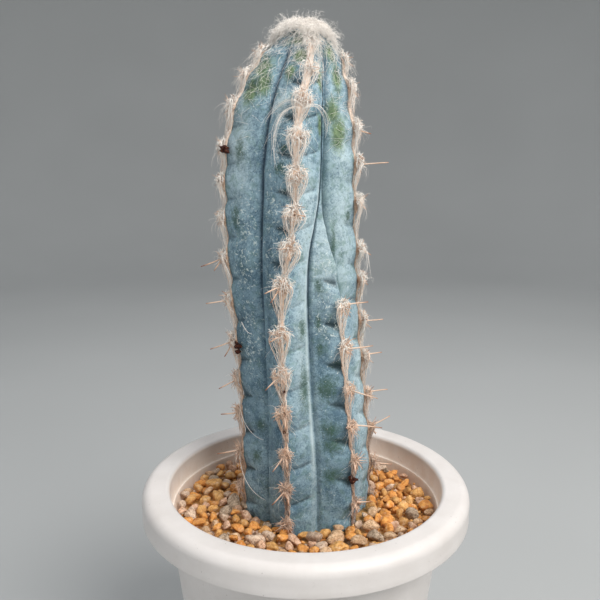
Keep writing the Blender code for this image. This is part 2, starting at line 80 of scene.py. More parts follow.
# Kinds of stone: light and dark shade, and share of the stones on the left and on the right of MIX_EDGE
STONES = {
    "orange": ((0.92, 0.45, 0.12), (0.60, 0.21, 0.035), 0.30, 0.46),
    "ochre": ((0.92, 0.53, 0.19), (0.56, 0.25, 0.06), 0.24, 0.30),
    "tan": ((0.88, 0.61, 0.38), (0.48, 0.28, 0.15), 0.20, 0.09),
    "pale": ((0.95, 0.74, 0.56), (0.50, 0.33, 0.23), 0.13, 0.06),
    "pink": ((0.90, 0.60, 0.42), (0.54, 0.30, 0.18), 0.10, 0.07),
    "grey": ((0.72, 0.56, 0.41), (0.28, 0.195, 0.13), 0.03, 0.02),
}
MIX_EDGE = 0.030
# The larger stones that lie in view: (x, y, half width, kind)
KEY_STONES = (
    (-0.0222, -0.0309, 0.0042, "pale"), (-0.016, -0.029, 0.0028, "pale"), (-0.0372, -0.0067, 0.004, "grey"),
    (-0.0335, 0.002, 0.0038, "grey"), (-0.0298, -0.0215, 0.003, "orange"), (-0.0402, -0.0184, 0.0032, "tan"),
    (-0.0528, -0.0114, 0.0036, "pale"), (-0.053, 0.0079, 0.003, "orange"), (-0.0461, 0.0184, 0.0042, "ochre"),
    (-0.0422, 0.0059, 0.0036, "ochre"), (0.004, -0.03, 0.0038, "pale"), (0.0125, -0.0298, 0.0041, "tan"),
    (0.0138, -0.0372, 0.0042, "ochre"), (0.023, -0.0345, 0.004, "tan"), (0.029, -0.0205, 0.0036, "tan"),
    (0.03, -0.0275, 0.0042, "grey"), (0.0495, -0.009, 0.0044, "grey"), (0.0565, -0.0024, 0.0031, "orange"),
    (0.0545, 0.0095, 0.0036, "ochre"), (0.05, 0.0054, 0.0034, "ochre"), (-0.0052, -0.032, 0.0034, "pink"),
    (0.0395, -0.018, 0.0028, "pink"), (0.0413, -0.0243, 0.003, "tan"), (0.0365, -0.0165, 0.0032, "orange"),
)

# The stem, with its ribs counted from the left edge as the camera sees it
RIBS = 6
STEM_GIRTH = ((-0.043, 0.0290), (0.008, 0.0295), (0.040, 0.0281), (0.074, 0.0277), (0.106, 0.0283),
              (0.139, 0.0281))
DOME_START = 0.139
STEM_TOP = 0.1992
STEM_FOOT = -0.0430
TAPER_TOP = -0.0275
FURROW_RATIO = 0.77
FLANK_CURVE = 1.2
PODARIUM_SWELL = 0.0006
STEM_BOW = ((-0.040, 0.0008), (0.010, 0.0005), (0.040, -0.0013), (0.074, -0.0041), (0.106, -0.0066),
            (0.139, -0.0075), (0.170, -0.0060), (0.199, -0.0019))
STEM_BACK = 0.0035
CRESTS = (
    ((0.000, -80), (0.100, -78), (0.150, -75), (0.190, -69)),
    ((0.000, -17), (0.055, -15.5), (0.075, -13), (0.094, -8), (0.110, -1), (0.127, 5), (0.160, 7),
     (0.190, 15)),
    ((0.085, 43), (0.100, 44), (0.112, 41), (0.122, 38), (0.133, 37), (0.160, 40), (0.190, 45)),
    ((0.000, 98), (0.060, 95), (0.100, 87), (0.140, 79), (0.190, 78)),
    ((0.000, 158), (0.100, 154), (0.190, 151)),
    ((0.000, 220), (0.190, 219)),
)
# Each rib's left furrow
FURROWS = (
    ((0.000, -110), (0.190, -106)),
    ((0.000, -49), (0.042, -45), (0.070, -41), (0.104, -35), (0.129, -30), (0.160, -26), (0.190, -21)),
    ((0.040, 11), (0.075, 14), (0.094, 17), (0.109, 22), (0.119, 29), (0.132, 36), (0.160, 39), (0.190, 44)),
    ((0.050, 70), (0.080, 63), (0.100, 51), (0.113, 43.5), (0.122, 39.5), (0.133, 38), (0.160, 41),
     (0.190, 46)),
    ((0.000, 128), (0.100, 121), (0.190, 114)),
    ((0.000, 189), (0.190, 185)),
)
FRONT_RIB = 1
SHORT_RIB = 2
TIP_RIBS = (0, 1, 3, 4, 5)
SHORT_RIB_FADE = (0.085, 0.133)
SHORT_RIB_TUFTS_END = 0.094
AREOLES = (
    (-0.0200, -0.0033, 0.0143, 0.0326, 0.0488, 0.0665, 0.0849, 0.1038, 0.1212, 0.1363, 0.1501,
     0.1668, 0.1792, 0.1880, 0.1950),
    (-0.0265, -0.0103, 0.0062, 0.0216, 0.0402, 0.0573, 0.0746, 0.0952, 0.1103, 0.1238, 0.1394,
     0.1539, 0.1685, 0.1804, 0.1901, 0.1970),
    (-0.0210, -0.0037, 0.0163, 0.0319, 0.0491, 0.0674, 0.0853, 0.1040, 0.1205, 0.1355, 0.1505,
     0.1655, 0.1785, 0.1885, 0.1960),
    (-0.0280, -0.0120, 0.0038, 0.0213, 0.0381, 0.0567, 0.0745, 0.0933, 0.1069, 0.1276, 0.1441,
     0.1582, 0.1745, 0.1857, 0.1945),
    (-0.0190, -0.0030, 0.0130, 0.0300, 0.0480, 0.0656, 0.0843, 0.1019, 0.1169, 0.1317, 0.1467,
     0.1614, 0.1747, 0.1856, 0.1940),
    (-0.0275, -0.0113, 0.0049, 0.0208, 0.0393, 0.0567, 0.0745, 0.0940, 0.1098, 0.1240, 0.1393,
     0.1540, 0.1687, 0.1807, 0.1905, 0.1975),
)
AREOLE_PITCH = 0.0162
COLUMNS_PER_RIB = 48
ROW_STEP = 0.0007
FOLD_DEPTH = 0.0019
FOLD_RISE = 0.0016
FURROW_DEPTH = 0.0009

# Patches on the skin, each as (rib, across, height, half width, half height)
PATCHES = {}
# Where the bloom is rubbed off green skin
PATCHES["rubbed"] = (
    (0, 0.36, 0.1725, 0.0034, 0.0075), (0, 0.40, 0.1820, 0.0040, 0.0050), (0, 0.62, 0.1760, 0.0034, 0.0060),
    (3, -0.72, 0.1645, 0.0030, 0.0050), (3, -0.58, 0.1560, 0.0034, 0.0070), (3, -0.5, 0.1780, 0.0020, 0.0080),
    (1, 0.80, 0.1590, 0.0014, 0.0040), (1, -0.32, 0.1925, 0.0060, 0.0018), (1, -0.35, 0.1860, 0.0030, 0.0030),
    (4, 0.3, 0.1700, 0.0050, 0.0070), (5, -0.4, 0.1600, 0.0050, 0.0060), (1, -0.60, 0.1800, 0.0022, 0.0036),
    (1, 0.66, 0.1765, 0.0016, 0.0040), (3, -0.62, 0.1880, 0.0022, 0.0050), (1, -0.15, 0.1960, 0.0050, 0.0016),
)
# Dark green scars, and one patch of painted shade on rib 3 beside its left furrow
PATCHES["scars_and_shade"] = (
    (1, -0.40, 0.1425, 0.0024, 0.0026), (1, -0.32, 0.1500, 0.0018, 0.0016), (0, 0.45, 0.1495, 0.0024, 0.0050),
    (0, 0.40, 0.1220, 0.0020, 0.0060), (2, -0.55, 0.0500, 0.0044, 0.0052), (2, -0.68, 0.0785, 0.0014, 0.0032),
    (2, -0.68, 0.067, 0.0016, 0.0032), (2, -0.15, 0.0595, 0.0034, 0.0020), (2, -0.55, 0.0310, 0.0040, 0.0034),
    (2, -0.50, 0.0240, 0.0056, 0.0036), (2, -0.57, 0.0100, 0.0050, 0.0034), (0, 0.75, 0.0295, 0.0024, 0.0024),
    (0, 0.60, 0.0145, 0.0026, 0.0030), (2, -0.62, 0.0935, 0.0018, 0.0030), (1, 0.68, 0.0500, 0.0022, 0.0100),
    (1, 0.70, 0.0760, 0.0020, 0.0050), (3, -0.84, 0.1110, 0.0013, 0.0090), (3, -0.30, 0.1220, 0.0020, 0.0026),
    (4, -0.3, 0.0600, 0.0050, 0.0060), (4, 0.4, 0.1100, 0.0040, 0.0060), (5, 0.2, 0.0300, 0.0050, 0.0050),
    (5, -0.5, 0.0900, 0.0040, 0.0070), (3, 0.4, 0.0500, 0.0040, 0.0060),
)
# Where the bloom is flecked with pale scale
PATCHES["flecked"] = (
    (0, 0.55, 0.1080, 0.0070, 0.0220), (1, -0.45, 0.1100, 0.0060, 0.0300), (2, -0.25, 0.1040, 0.0050, 0.0120),
    (0, 0.60, 0.0700, 0.0060, 0.0200), (1, -0.30, 0.1550, 0.0060, 0.0200), (2, -0.40, 0.0800, 0.0060, 0.0100),
    (4, 0.0, 0.1000, 0.0080, 0.0400), (5, 0.3, 0.1300, 0.0080, 0.0400), (3, 0.5, 0.0900, 0.0060, 0.0300),
)
# Where the bloom lies thick and pale, partly painted highlight on the flanks that face the key light
PATCHES["pale"] = (
    (1, 0.50, 0.1200, 0.0046, 0.0220), (1, 0.70, 0.0700, 0.0040, 0.0460), (2, -0.10, 0.1110, 0.0095, 0.0260),
    (3, -0.55, 0.1150, 0.0085, 0.0460), (3, -0.45, 0.1500, 0.0045, 0.0180), (0, 0.40, 0.1500, 0.0060, 0.0180),
    (3, -0.30, 0.0450, 0.0060, 0.0450), (1, 0.90, 0.0200, 0.0020, 0.0300), (1, -0.60, 0.1680, 0.0030, 0.0080),
    (4, 0.40, 0.1200, 0.0060, 0.0400), (5, -0.40, 0.1300, 0.0060, 0.0300), (4, -0.50, 0.0500, 0.0050, 0.0300),
)
# Where the skin is dull and dark, partly painted shade, mostly low on the stem
PATCHES["dull_skin_and_shade"] = (
    (0, 0.40, 0.0450, 0.0100, 0.0300), (0, 0.60, 0.0900, 0.0070, 0.0200), (1, 0.10, 0.0080, 0.0120, 0.0250),
    (2, -0.45, 0.0260, 0.0130, 0.0440), (2, -0.60, 0.0700, 0.0050, 0.0200), (4, 0.0, 0.0300, 0.0150, 0.0400),
    (5, 0.0, 0.0250, 0.0150, 0.0400), (1, -0.60, 0.0900, 0.0050, 0.0400),
)

# Wool, spines and crown
LOWEST_AREOLE = -0.0121
HIGHEST_AREOLE = 0.1935
HIGHEST_SPINES = 0.1885
STRAND_RADIUS = 0.000095
CORE_SIDES = 12
# How far each rib's wool stands off its crest, how wide it is, and how light the mat under it is, whose
# darkness is partly painted shade of the hollow under the hairs
TUFT_BULGE = (1.25, 1.1, 1.15, 1.5, 1.2, 1.2)
TUFT_SCALE = (0.90, 1.0, 0.76, 0.88, 0.9, 0.9)
MAT_TONE_AND_SHADE = (0.22, 0.26, 0.22, 0.14, 0.15, 0.15)
# The share of its hairs that each rib carries, the ribs at the back fewer
HAIR_DENSITY = (1.0, 1.0, 1.0, 1.0, 0.5, 0.5)
# The ribs seen from the side, whose wool hangs more loosely
EDGE_RIBS = (0, 3)
CROWN_EDGE = 0.1938
CROWN_TOP = 0.2034
CROWN_MAT = 0.0012
CROWN_SIDES = 72
CROWN_LEVELS = 12
HIGHEST_POINT = 0.2090
# The height at which the stem's bow gives the crown its middle
CROWN_BOW_AT = 0.196
# Where wool from the ribs' last areoles joins the crown: degrees round the stem
CROWN_CORNERS = (-69, 15, 78, 151, 219)
# Each rib's long spines: (areole, sideways, up, outwards, length), the areoles counted up from the lowest
LONG_SPINES = (
    ((2, 0.05, -0.10, 1.0, 0.0108), (3, -0.10, -0.06, 1.0, 0.0086), (4, 0.10, -0.38, 1.0, 0.0094),
     (5, -0.05, -0.26, 1.0, 0.0112), (6, 0.05, 0.00, 1.0, 0.0104), (7, -0.10, -0.32, 1.0, 0.0110),
     (7, 0.15, -1.10, 0.9, 0.0080), (5, 0.35, -1.20, 0.9, 0.0085)),
    ((7, -0.80, -0.40, 0.65, 0.0078), (7, -0.42, -0.95, 0.55, 0.0078), (5, -0.72, -0.72, 0.55, 0.0085),
     (4, 0.30, -0.90, 0.60, 0.0070), (3, -0.58, -0.85, 0.55, 0.0088), (2, -0.62, -0.70, 0.60, 0.0088),
     (2, 0.35, -1.00, 0.55, 0.0070), (1, -0.20, -1.00, 0.60, 0.0072), (6, -0.75, -0.45, 0.60, 0.0064),
     (9, 0.85, -0.10, 0.50, 0.0060), (8, 0.30, -0.80, 0.60, 0.0055)),
    ((6, 0.80, 0.02, 0.60, 0.0108), (5, 0.92, -0.04, 0.55, 0.0128), (4, 0.88, -0.50, 0.55, 0.0140),
     (3, 0.90, -0.28, 0.55, 0.0138), (1, 0.80, 0.00, 0.60, 0.0082), (2, -0.45, -0.90, 0.60, 0.0062)),
    ((10, 0.00, 0.05, 1.0, 0.0128), (11, 0.25, -0.35, 0.9, 0.0064), (6, 0.00, 0.00, 1.0, 0.0098),
     (5, 0.05, 0.00, 1.0, 0.0085), (4, 0.00, 0.00, 1.0, 0.0100), (3, 0.10, 0.30, 1.0, 0.0112),
     (2, -0.10, -0.10, 1.0, 0.0100), (6, 0.40, -0.95, 0.8, 0.0075), (8, 0.30, -0.70, 0.9, 0.0066)),
    ((2, 0.30, -0.20, 1.0, 0.0105), (3, -0.35, -0.10, 1.0, 0.0098), (5, 0.20, -0.40, 1.0, 0.0110),
     (6, -0.15, 0.05, 1.0, 0.0100), (7, 0.40, -0.30, 1.0, 0.0092), (9, -0.20, -0.15, 1.0, 0.0088)),
    ((2, -0.30, -0.25, 1.0, 0.0104), (4, 0.25, -0.10, 1.0, 0.0110), (5, -0.10, -0.45, 1.0, 0.0096),
     (6, 0.35, 0.00, 1.0, 0.0102), (8, -0.25, -0.20, 1.0, 0.0090), (9, 0.10, -0.35, 1.0, 0.0084)),
)
# Scraps of dried buds in the wool: (rib, height, side, out, half width)
HUSKS = ((0, 0.1497, 0.0052, 0.0008, 0.0024), (0, 0.0650, 0.0050, 0.0004, 0.0026),
         (2, 0.0095, -0.0012, 0.0016, 0.0025), (1, 0.0500, 0.0006, 0.0016, 0.0010),
         (1, 0.0320, -0.0004, 0.0012, 0.0009))
# Long hairs on the skin: (rib, how many, thickness, the four (across, height, lift) points of their curve)
OLD_HAIRS = (
    (0, 1, 16e-5, ((0.02, 0.04, 0.002), (0.1, 0.029, 0.0024), (0.55, 0.0235, 0.002), (0.86, 0.023, 0.0006))),
    (0, 1, 16e-5, ((0.04, 0.011, 0.002), (0.16, 0.0, 0.0022), (0.6, -0.004, 0.002), (0.92, -0.006, 0.0008))),
    (0, 1, 2e-4, ((0.3, 0.076, 0.0004), (0.45, 0.074, 0.001), (0.52, 0.072, 0.0014), (0.66, 0.0715, 0.0004))),
    (1, 9, 7e-5, ((0.05, 0.165, 0.004), (0.45, 0.17, 0.006), (0.95, 0.16, 0.005), (1.05, 0.156, 0.003))),
    (1, 9, 7e-5, ((-0.05, 0.165, 0.004), (-0.5, 0.168, 0.005), (-0.75, 0.156, 0.004), (-0.42, 0.144, 0.002))),
    (1, 6, 7e-5, ((0.0, 0.166, 0.0045), (-0.4, 0.172, 0.005), (-0.9, 0.166, 0.004), (-1.0, 0.159, 0.002))),
    (3, 7, 7e-5, ((0.0, 0.107, 0.002), (-0.2, 0.11, 0.006), (-0.3, 0.102, 0.008), (-0.35, 0.094, 0.006))),
)

SEED = 11
STUDIO_SEGMENTS = 96


# Small helpers


def ease(start, end, value):
    """0 before start, 1 after end, and a soft step between."""
    share = np.clip((np.asarray(value, float) - start) / (end - start), 0, 1)
    return share * share * (3 - 2 * share)


def along(points, value):
    """Reads a smooth curve through (place, value) points, flat past both ends."""
    places, values = np.array(points, float).T
    value = np.clip(np.asarray(value, float), places[0], places[-1])
    i = np.clip(np.searchsorted(places, value, side="right") - 1, 0, len(places) - 2)
    slopes = np.zeros(len(places))
    slopes[1:-1] = (values[2:] - values[:-2]) / (places[2:] - places[:-2])
    width = places[i + 1] - places[i]
    t = (value - places[i]) / width
    return (
        (2 * t**3 - 3 * t**2 + 1) * values[i]
        + (t**3 - 2 * t**2 + t) * width * slopes[i]
        + (3 * t**2 - 2 * t**3) * values[i + 1]
        + (t**3 - t**2) * width * slopes[i + 1]
    )


def unit(vectors):
    return vectors / np.maximum(np.linalg.norm(vectors, axis=-1, keepdims=True), 1e-12)


def lumps(points, scale, octaves=3):
    """Smooth noise from about -1 to 1 at each point, whose lumps are about scale wide."""
    return np.array([noise.fractal(Vector(p) / scale, 1.0, 2.0, octaves) for p in points.reshape(-1, 3)])


def quads(rings, columns, first=0, closed=False, flip=False):
    """Faces between rings of points that are numbered ring after ring from first."""
    faces = []
    for ring in range(rings if closed else rings - 1):
        low, high = first + ring * columns, first + (ring + 1) % rings * columns
        for j in range(columns):
            after = (j + 1) % columns
            ends = (low + after, high + after, high + j)
            faces.append((low + j, *(ends[::-1] if flip else ends)))
    return faces


def fan(middle, first, columns, flip=False):
    """Triangles from a middle point to the ring of points that starts at number first."""
    pairs = [(first + j, first + (j + 1) % columns) for j in range(columns)]
    return [(middle, b, a) if flip else (middle, a, b) for a, b in pairs]


def add_piece(name, verts, faces, material, smooth=True):
    mesh = bpy.data.meshes.new(name)
    mesh.from_pydata(np.asarray(verts, float).tolist(), [], faces)
    mesh.update()
    mesh.materials.append(material)
    if smooth:
        mesh.shade_smooth()
    obj = bpy.data.objects.new(name, mesh)
    bpy.context.scene.collection.objects.link(obj)
    return obj


def set_attribute(obj, name, values):
    attribute = obj.data.attributes.new(name, "FLOAT", "POINT")
    attribute.data.foreach_set("value", np.asarray(values, np.float32).ravel())


def dress(obj, slot, *nodes):
    """Says what a finished piece rides on and hides the imported parts that it stands for; slot is not used.
    """
    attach(obj, "root")
    if nodes:
        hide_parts(*nodes)


# Materials


def srgb(red, green, blue):
    """A colour from its 0 to 255 screen values."""
    shares = [value / 255 for value in (red, green, blue)]
    return tuple(s / 12.92 if s <= 0.04045 else ((s + 0.055) / 1.055) ** 2.4 for s in shares)


def shaded(colour, share):
    return tuple(share * channel for channel in colour)


class Nodes:
    """A material's node tree, with short calls for what the surfaces here need."""

    def __init__(self, name, roughness=0.8, specular=0.3, sheen=0.0):
        self.material = bpy.data.materials.new(name)
        self.material.use_nodes = True
        self.tree = self.material.node_tree
        self.shader = self.tree.nodes["Principled BSDF"]
        self.shader.inputs["Roughness"].default_value = roughness
        self.shader.inputs["Specular IOR Level"].default_value = specular
        self.shader.inputs["Sheen Weight"].default_value = sheen
        self.place = self.add("ShaderNodeTexCoord").outputs["Object"]

    def add(self, kind, **settings):
        node = self.tree.nodes.new(kind)
        for key, value in settings.items():
            setattr(node, key, value)
        return node

    def feed(self, socket, value):
        if isinstance(value, bpy.types.NodeSocket):
            self.tree.links.new(value, socket)
        elif isinstance(value, tuple):
            socket.default_value = (*value, 1.0)
        else:
            socket.default_value = value

    def fill(self, node, **inputs):
        for key, value in inputs.items():
            self.feed(node.inputs[key], value)
        return node.outputs

    def noise(self, size, detail=4.0, roughness=0.6, distortion=0.0):
        node = self.add("ShaderNodeTexNoise")
        node.inputs["Distortion"].default_value = distortion
        return self.fill(node, Vector=self.place, Scale=1 / size, Detail=detail, Roughness=roughness)["Fac"]

    def dots(self, size, edge, chosen=None, ragged=None):
        """Scattered spots, 1 inside and 0 past the edge, in the cells whose random number is past chosen."""
        cells = self.fill(self.add("ShaderNodeTexVoronoi"), Vector=self.place, Scale=1 / size)
        reach = cells["Distance"] if ragged is None else self.math("ADD", cells["Distance"], ragged)
        spots = self.span(reach, *edge, 1.0, 0.0)
        return spots if chosen is None else self.times(spots, self.span(cells["Color"], *chosen))

    def attribute(self, name):
        return self.add("ShaderNodeAttribute", attribute_name=name).outputs["Fac"]

    def math(self, operation, a, b, clamp=False):
        node = self.add("ShaderNodeMath", operation=operation, use_clamp=clamp)
        self.feed(node.inputs[0], a)
        self.feed(node.inputs[1], b)
        return node.outputs[0]

    def times(self, a, b):
        return self.math("MULTIPLY", a, b)

    def weigh(self, a, a_weight, b, b_weight):
        """The sum of two values, each times its weight."""
        return self.math("ADD", self.times(a, a_weight), self.times(b, b_weight))

    def span(self, value, low, high, to_low=0.0, to_high=1.0):
        """Maps low to high onto to_low to to_high, held at both ends."""
        node = self.add("ShaderNodeMapRange")
        for socket, number in zip(list(node.inputs)[1:5], (low, high, to_low, to_high)):
            socket.default_value = number
        return self.fill(node, Value=value)["Result"]

    def mix(self, share, a, b):
        return self.fill(self.add("ShaderNodeMix", data_type="RGBA"), Factor=share, A=a, B=b)["Result"]

    def cover(self, under, over, share, most):
        """Lays one colour over another, by a share that goes up to most."""
        return self.mix(self.times(share, most), under, over)

    def bump(self, height, distance, strength):
        node = self.add("ShaderNodeBump")
        outputs = self.fill(node, Height=height, Distance=distance, Strength=strength)
        self.feed(self.shader.inputs["Normal"], outputs["Normal"])

    def finish(self, colour, roughness=None):
        self.feed(self.shader.inputs["Base Color"], colour)
        if roughness is not None:
            self.feed(self.shader.inputs["Roughness"], roughness)
        return self.material


def pot_material():
    """Moulded white plastic with fine specks and scuffs; lighter and warmer on its inside, partly a stain
    from watering and partly painted light that lifts the shade inside the pot.
    """
    n = Nodes("white_plastic", specular=0.4)
    cloud = n.noise(0.018, 4, 0.6)
    grain = n.noise(0.0012, 3, 0.7)
    clean = n.mix(n.span(cloud, 0.3, 0.7), srgb(214, 208, 204), srgb(224, 219, 216))
    streaks = n.span(n.noise(0.006, 5, 0.65, 0.6), 0.35, 0.7)
    # The inside's colour, lighter than the clean plastic: partly stain, partly painted light against the
    # shade in the pot
    soiled_and_lightened = n.mix(streaks, srgb(242, 224, 208), srgb(252, 240, 229))
    colour = n.mix(n.attribute("stain_and_painted_light"), clean, soiled_and_lightened)
    specks = n.dots(0.0026, (0.10, 0.16), (0.60, 0.64), n.times(grain, 0.12))
    colour = n.cover(colour, srgb(120, 108, 98), specks, 0.55)
    scuffs = n.span(n.noise(0.0045, 6, 0.75, 1.2), 0.64, 0.74)
    colour = n.cover(colour, srgb(168, 160, 152), scuffs, 0.45)
    n.bump(n.weigh(grain, 0.5, cloud, 1.0), 0.00012, 0.5)
    return n.finish(colour, n.span(cloud, 0.3, 0.7, 0.36, 0.50))


def skin_material():
    """Waxy blue bloom over green skin, rubbed off in places, flecked with pale scale, with painted shade in
    the furrows and creases and low on the stem, and painted highlights on the lit flanks and lips.
    """
    n = Nodes("blue_skin", specular=0.3)
    broad = n.noise(0.012, 3, 0.55, 0.4)
    cloud = n.noise(0.0028, 5, 0.7, 0.5)
    fine = n.noise(0.0007, 4, 0.75)
    bloom = n.weigh(n.weigh(broad, 0.40, cloud, 0.60), 0.58, fine, 0.42)
    colour = n.mix(n.span(bloom, 0.43, 0.57), srgb(80, 111, 129), srgb(153, 183, 197))
    # Thick bloom, partly painted highlight on the lit flanks
    pale = n.times(n.attribute("pale"), n.span(bloom, 0.40, 0.56, 0.30, 0.90))
    colour = n.mix(pale, colour, srgb(194, 213, 218))
    mossy = n.span(n.noise(0.0048, 4, 0.65, 0.8), 0.50, 0.66)
    colour = n.cover(colour, srgb(92, 124, 106), mossy, 0.48)
    # Dull skin and painted shade, mostly low on the stem
    colour = n.cover(colour, srgb(76, 101, 116), n.attribute("dull_skin_and_shade"), 0.45)
    # Painted highlight on the lit lips beside the furrows
    colour = n.cover(colour, srgb(200, 218, 222), n.attribute("lip_and_highlight"), 0.75)
    colour = n.cover(colour, srgb(62, 96, 92), n.attribute("shade"), 0.62)

    ragged = n.math("SUBTRACT", n.noise(0.0013, 5, 0.75, 1.0), 0.5)
    # Dark green scars, with one patch of painted shade beside a furrow
    scars_and_shade = n.span(n.weigh(n.attribute("scars_and_shade"), 1.0, ragged, 2.4), 0.25, 1.0)
    colour = n.cover(colour, srgb(54, 82, 62), scars_and_shade, 0.82)
    rubbed = n.span(n.weigh(n.attribute("rubbed"), 1.0, ragged, 1.3), 0.20, 0.80)
    green = n.mix(n.span(cloud, 0.40, 0.60), srgb(74, 96, 54), srgb(118, 140, 84))
    colour = n.cover(colour, green, rubbed, 0.84)

    # Painted shade along the furrows: soft at their sides, darkest at their bottom
    furrow = n.attribute("furrow")
    colour = n.mix(n.span(furrow, 0.12, 0.60, 0.0, 0.30), colour, srgb(52, 78, 100))
    colour = n.mix(n.span(furrow, 0.50, 0.95, 0.0, 0.72), colour, srgb(38, 52, 70))
    # Painted shade in the creases between a rib's swellings
    colour = n.mix(n.span(n.attribute("fold"), 0.18, 0.75, 0.0, 0.82), colour, srgb(34, 52, 58))

    patchy = n.weigh(n.attribute("flecked"), 1.0, n.noise(0.0040, 3), 1.2)
    level = n.span(patchy, 0.45, 1.40, 0.660, 0.560)
    scurf = n.math("SUBTRACT", n.noise(0.0014, 4, 0.72, 0.9), level)
    flake = n.math("MULTIPLY", scurf, 24.0, clamp=True)
    colour = n.cover(colour, srgb(216, 226, 222), flake, 0.76)
    dark = n.dots(0.0026, (0.07, 0.14), (0.55, 0.70), n.times(ragged, 0.3))
    colour = n.cover(colour, srgb(54, 72, 62), dark, 0.55)
    n.bump(n.weigh(n.weigh(cloud, 0.8, fine, 0.35), 1.0, flake, 0.15), 0.0006, 0.6)
    return n.finish(colour, n.span(bloom, 0.35, 0.65, 0.52, 0.75))


def wool_material(name, darkest, middle, lightest):
    """Hairs whose shade comes from each strand's own tone, whitened towards the tip of the plant."""
    n = Nodes(name, roughness=0.75, specular=0.25, sheen=0.5)
    uneven = n.math("SUBTRACT", n.noise(0.0009, 2), 0.5)
    tone = n.weigh(n.attribute("tone"), 1.0, uneven, 0.5)
    low = n.mix(n.span(tone, 0.0, 0.5), darkest, middle)
    colour = n.mix(n.span(tone, 0.5, 1.0), low, lightest)
    white = n.times(n.attribute("white"), n.span(tone, 0.1, 0.7))
    return n.finish(n.mix(white, colour, srgb(254, 248, 241)))


def spine_material():
    """Pale horn that browns towards the spine's tip."""
    n = Nodes("tan_spine", roughness=0.5, specular=0.4)
    tone = n.attribute("tone")
    colour = n.mix(n.span(tone, 0.0, 0.7), srgb(242, 222, 204), srgb(226, 190, 162))
    colour = n.mix(n.span(tone, 0.72, 0.95), colour, srgb(156, 100, 74))
    streak = n.span(n.noise(0.0006, 3), 0.45, 0.7)
    return n.finish(n.cover(colour, srgb(166, 122, 98), streak, 0.30))


def stone_material(kind):
    """Weathered stone: two shades of one colour, with pits, and pale crusts on some."""
    light, dark = STONES[kind][:2]
    glossy = kind in ("orange", "ochre")
    n = Nodes(f"stone_{kind}", roughness=0.85, specular=0.45 if glossy else 0.25)
    mottle = n.noise(0.0014, 5, 0.72, 0.6)
    colour = n.mix(n.span(mottle, 0.40, 0.60), dark, light)
    shade = n.span(n.attribute("shade"), 0.0, 1.0, 0.0, 0.42)
    colour = n.mix(shade, colour, shaded(dark, 0.40))
    crust = n.span(n.noise(0.0028, 5, 0.7, 0.8), 0.54, 0.66)
    colour = n.cover(colour, srgb(232, 210, 184), crust, 0.45)
    pit = n.dots(0.00075, (0.12, 0.36), (0.42, 0.55))
    colour = n.cover(colour, shaded(dark, 0.30), pit, 0.35 if glossy else 0.75)
    n.bump(n.weigh(mottle, 0.8, pit, -0.3 if glossy else -0.8), 0.0005, 0.9)
    return n.finish(colour, n.span(mottle, 0.3, 0.7, 0.45 if glossy else 0.75, 0.9))


def soil_material():
    """Dark potting mix with chips of bark."""
    n = Nodes("potting_soil", roughness=0.95, specular=0.2)
    crumbs = n.noise(0.0022, 6, 0.75, 0.6)
    colour = n.mix(n.span(crumbs, 0.35, 0.65), srgb(40, 28, 20), srgb(96, 72, 52))
    colour = n.cover(colour, srgb(142, 118, 92), n.dots(0.0045, (0.12, 0.20)), 0.6)
    n.bump(crumbs, 0.0012, 0.9)
    return n.finish(colour)


def husk_material():
    """Dried flower parts and debris caught in the wool."""
    n = Nodes("dried_husk", roughness=0.7, specular=0.3)
    ridges = n.noise(0.0007, 4, 0.7, 0.8)
    colour = n.mix(n.span(ridges, 0.42, 0.58), srgb(20, 12, 10), srgb(88, 38, 22))
    colour = n.mix(n.span(ridges, 0.61, 0.70), colour, srgb(196, 148, 104))
    n.bump(ridges, 0.0004, 0.8)
    return n.finish(colour)


def paper_material():
    """The studio's pale paper."""
    n = Nodes("studio_paper", roughness=0.9, specular=0.1)
    return n.finish(n.mix(n.span(n.noise(0.5, 2), 0.3, 0.7), srgb(176, 178, 178), srgb(182, 184, 184)))


# The stem's surface


def girth(height):
    """Distance from the stem's middle line to its crests."""
    share = np.clip((np.asarray(height, float) - DOME_START) / (STEM_TOP - DOME_START), 0, 1)
    return along(STEM_GIRTH, height) * np.sqrt(1 - share * share)


def areole_phase(rib, height):
    """Counts the areoles passed on the way up a rib, with fractions between them."""
    return np.interp(height, AREOLES[rib], np.arange(len(AREOLES[rib])))


def rib_angle(rib, across, height):
    crest = along(CRESTS[rib], height)
    left = along(FURROWS[rib], height)
    right = along(FURROWS[(rib + 1) % RIBS], height) + (360 if rib == RIBS - 1 else 0)
    return crest + np.where(across < 0, across * (crest - left), across * (right - crest))


def rib_share(rib, height):
    """1 where a rib stands fully, 0 where the short rib has faded into its furrow."""
    fade = ease(*SHORT_RIB_FADE, height)
    return 1 - fade if rib == SHORT_RIB else np.ones_like(fade)


def skin(rib, across, height, grow=0.0, middle_share=1.0):
    """Points of the stem's surface."""
    across = np.asarray(across, float)
    height = np.asarray(height, float)
    crest = girth(height)
    furrow = crest * (FURROW_RATIO + (1 - FURROW_RATIO) * 0.5 * ease(0.185, STEM_TOP, height))
    share = (1 - np.abs(across) ** FLANK_CURVE) * rib_share(rib, height)
    radius = furrow + (crest - furrow) * share
    phase = areole_phase(rib, height)
    swell = np.where((phase > 0) & (phase < len(AREOLES[rib]) - 1), np.cos(2 * math.pi * phase), 0)
    radius = radius + PODARIUM_SWELL * swell * share * ease(-0.02, 0.0, height) + grow
    radius = radius * middle_share
    angle = np.radians(rib_angle(rib, across, height))
    return np.stack([
        along(STEM_BOW, height) + radius * np.sin(angle),
        STEM_BACK - radius * np.cos(angle),
        POT_HEIGHT + height + 0 * angle,
    ], axis=-1)


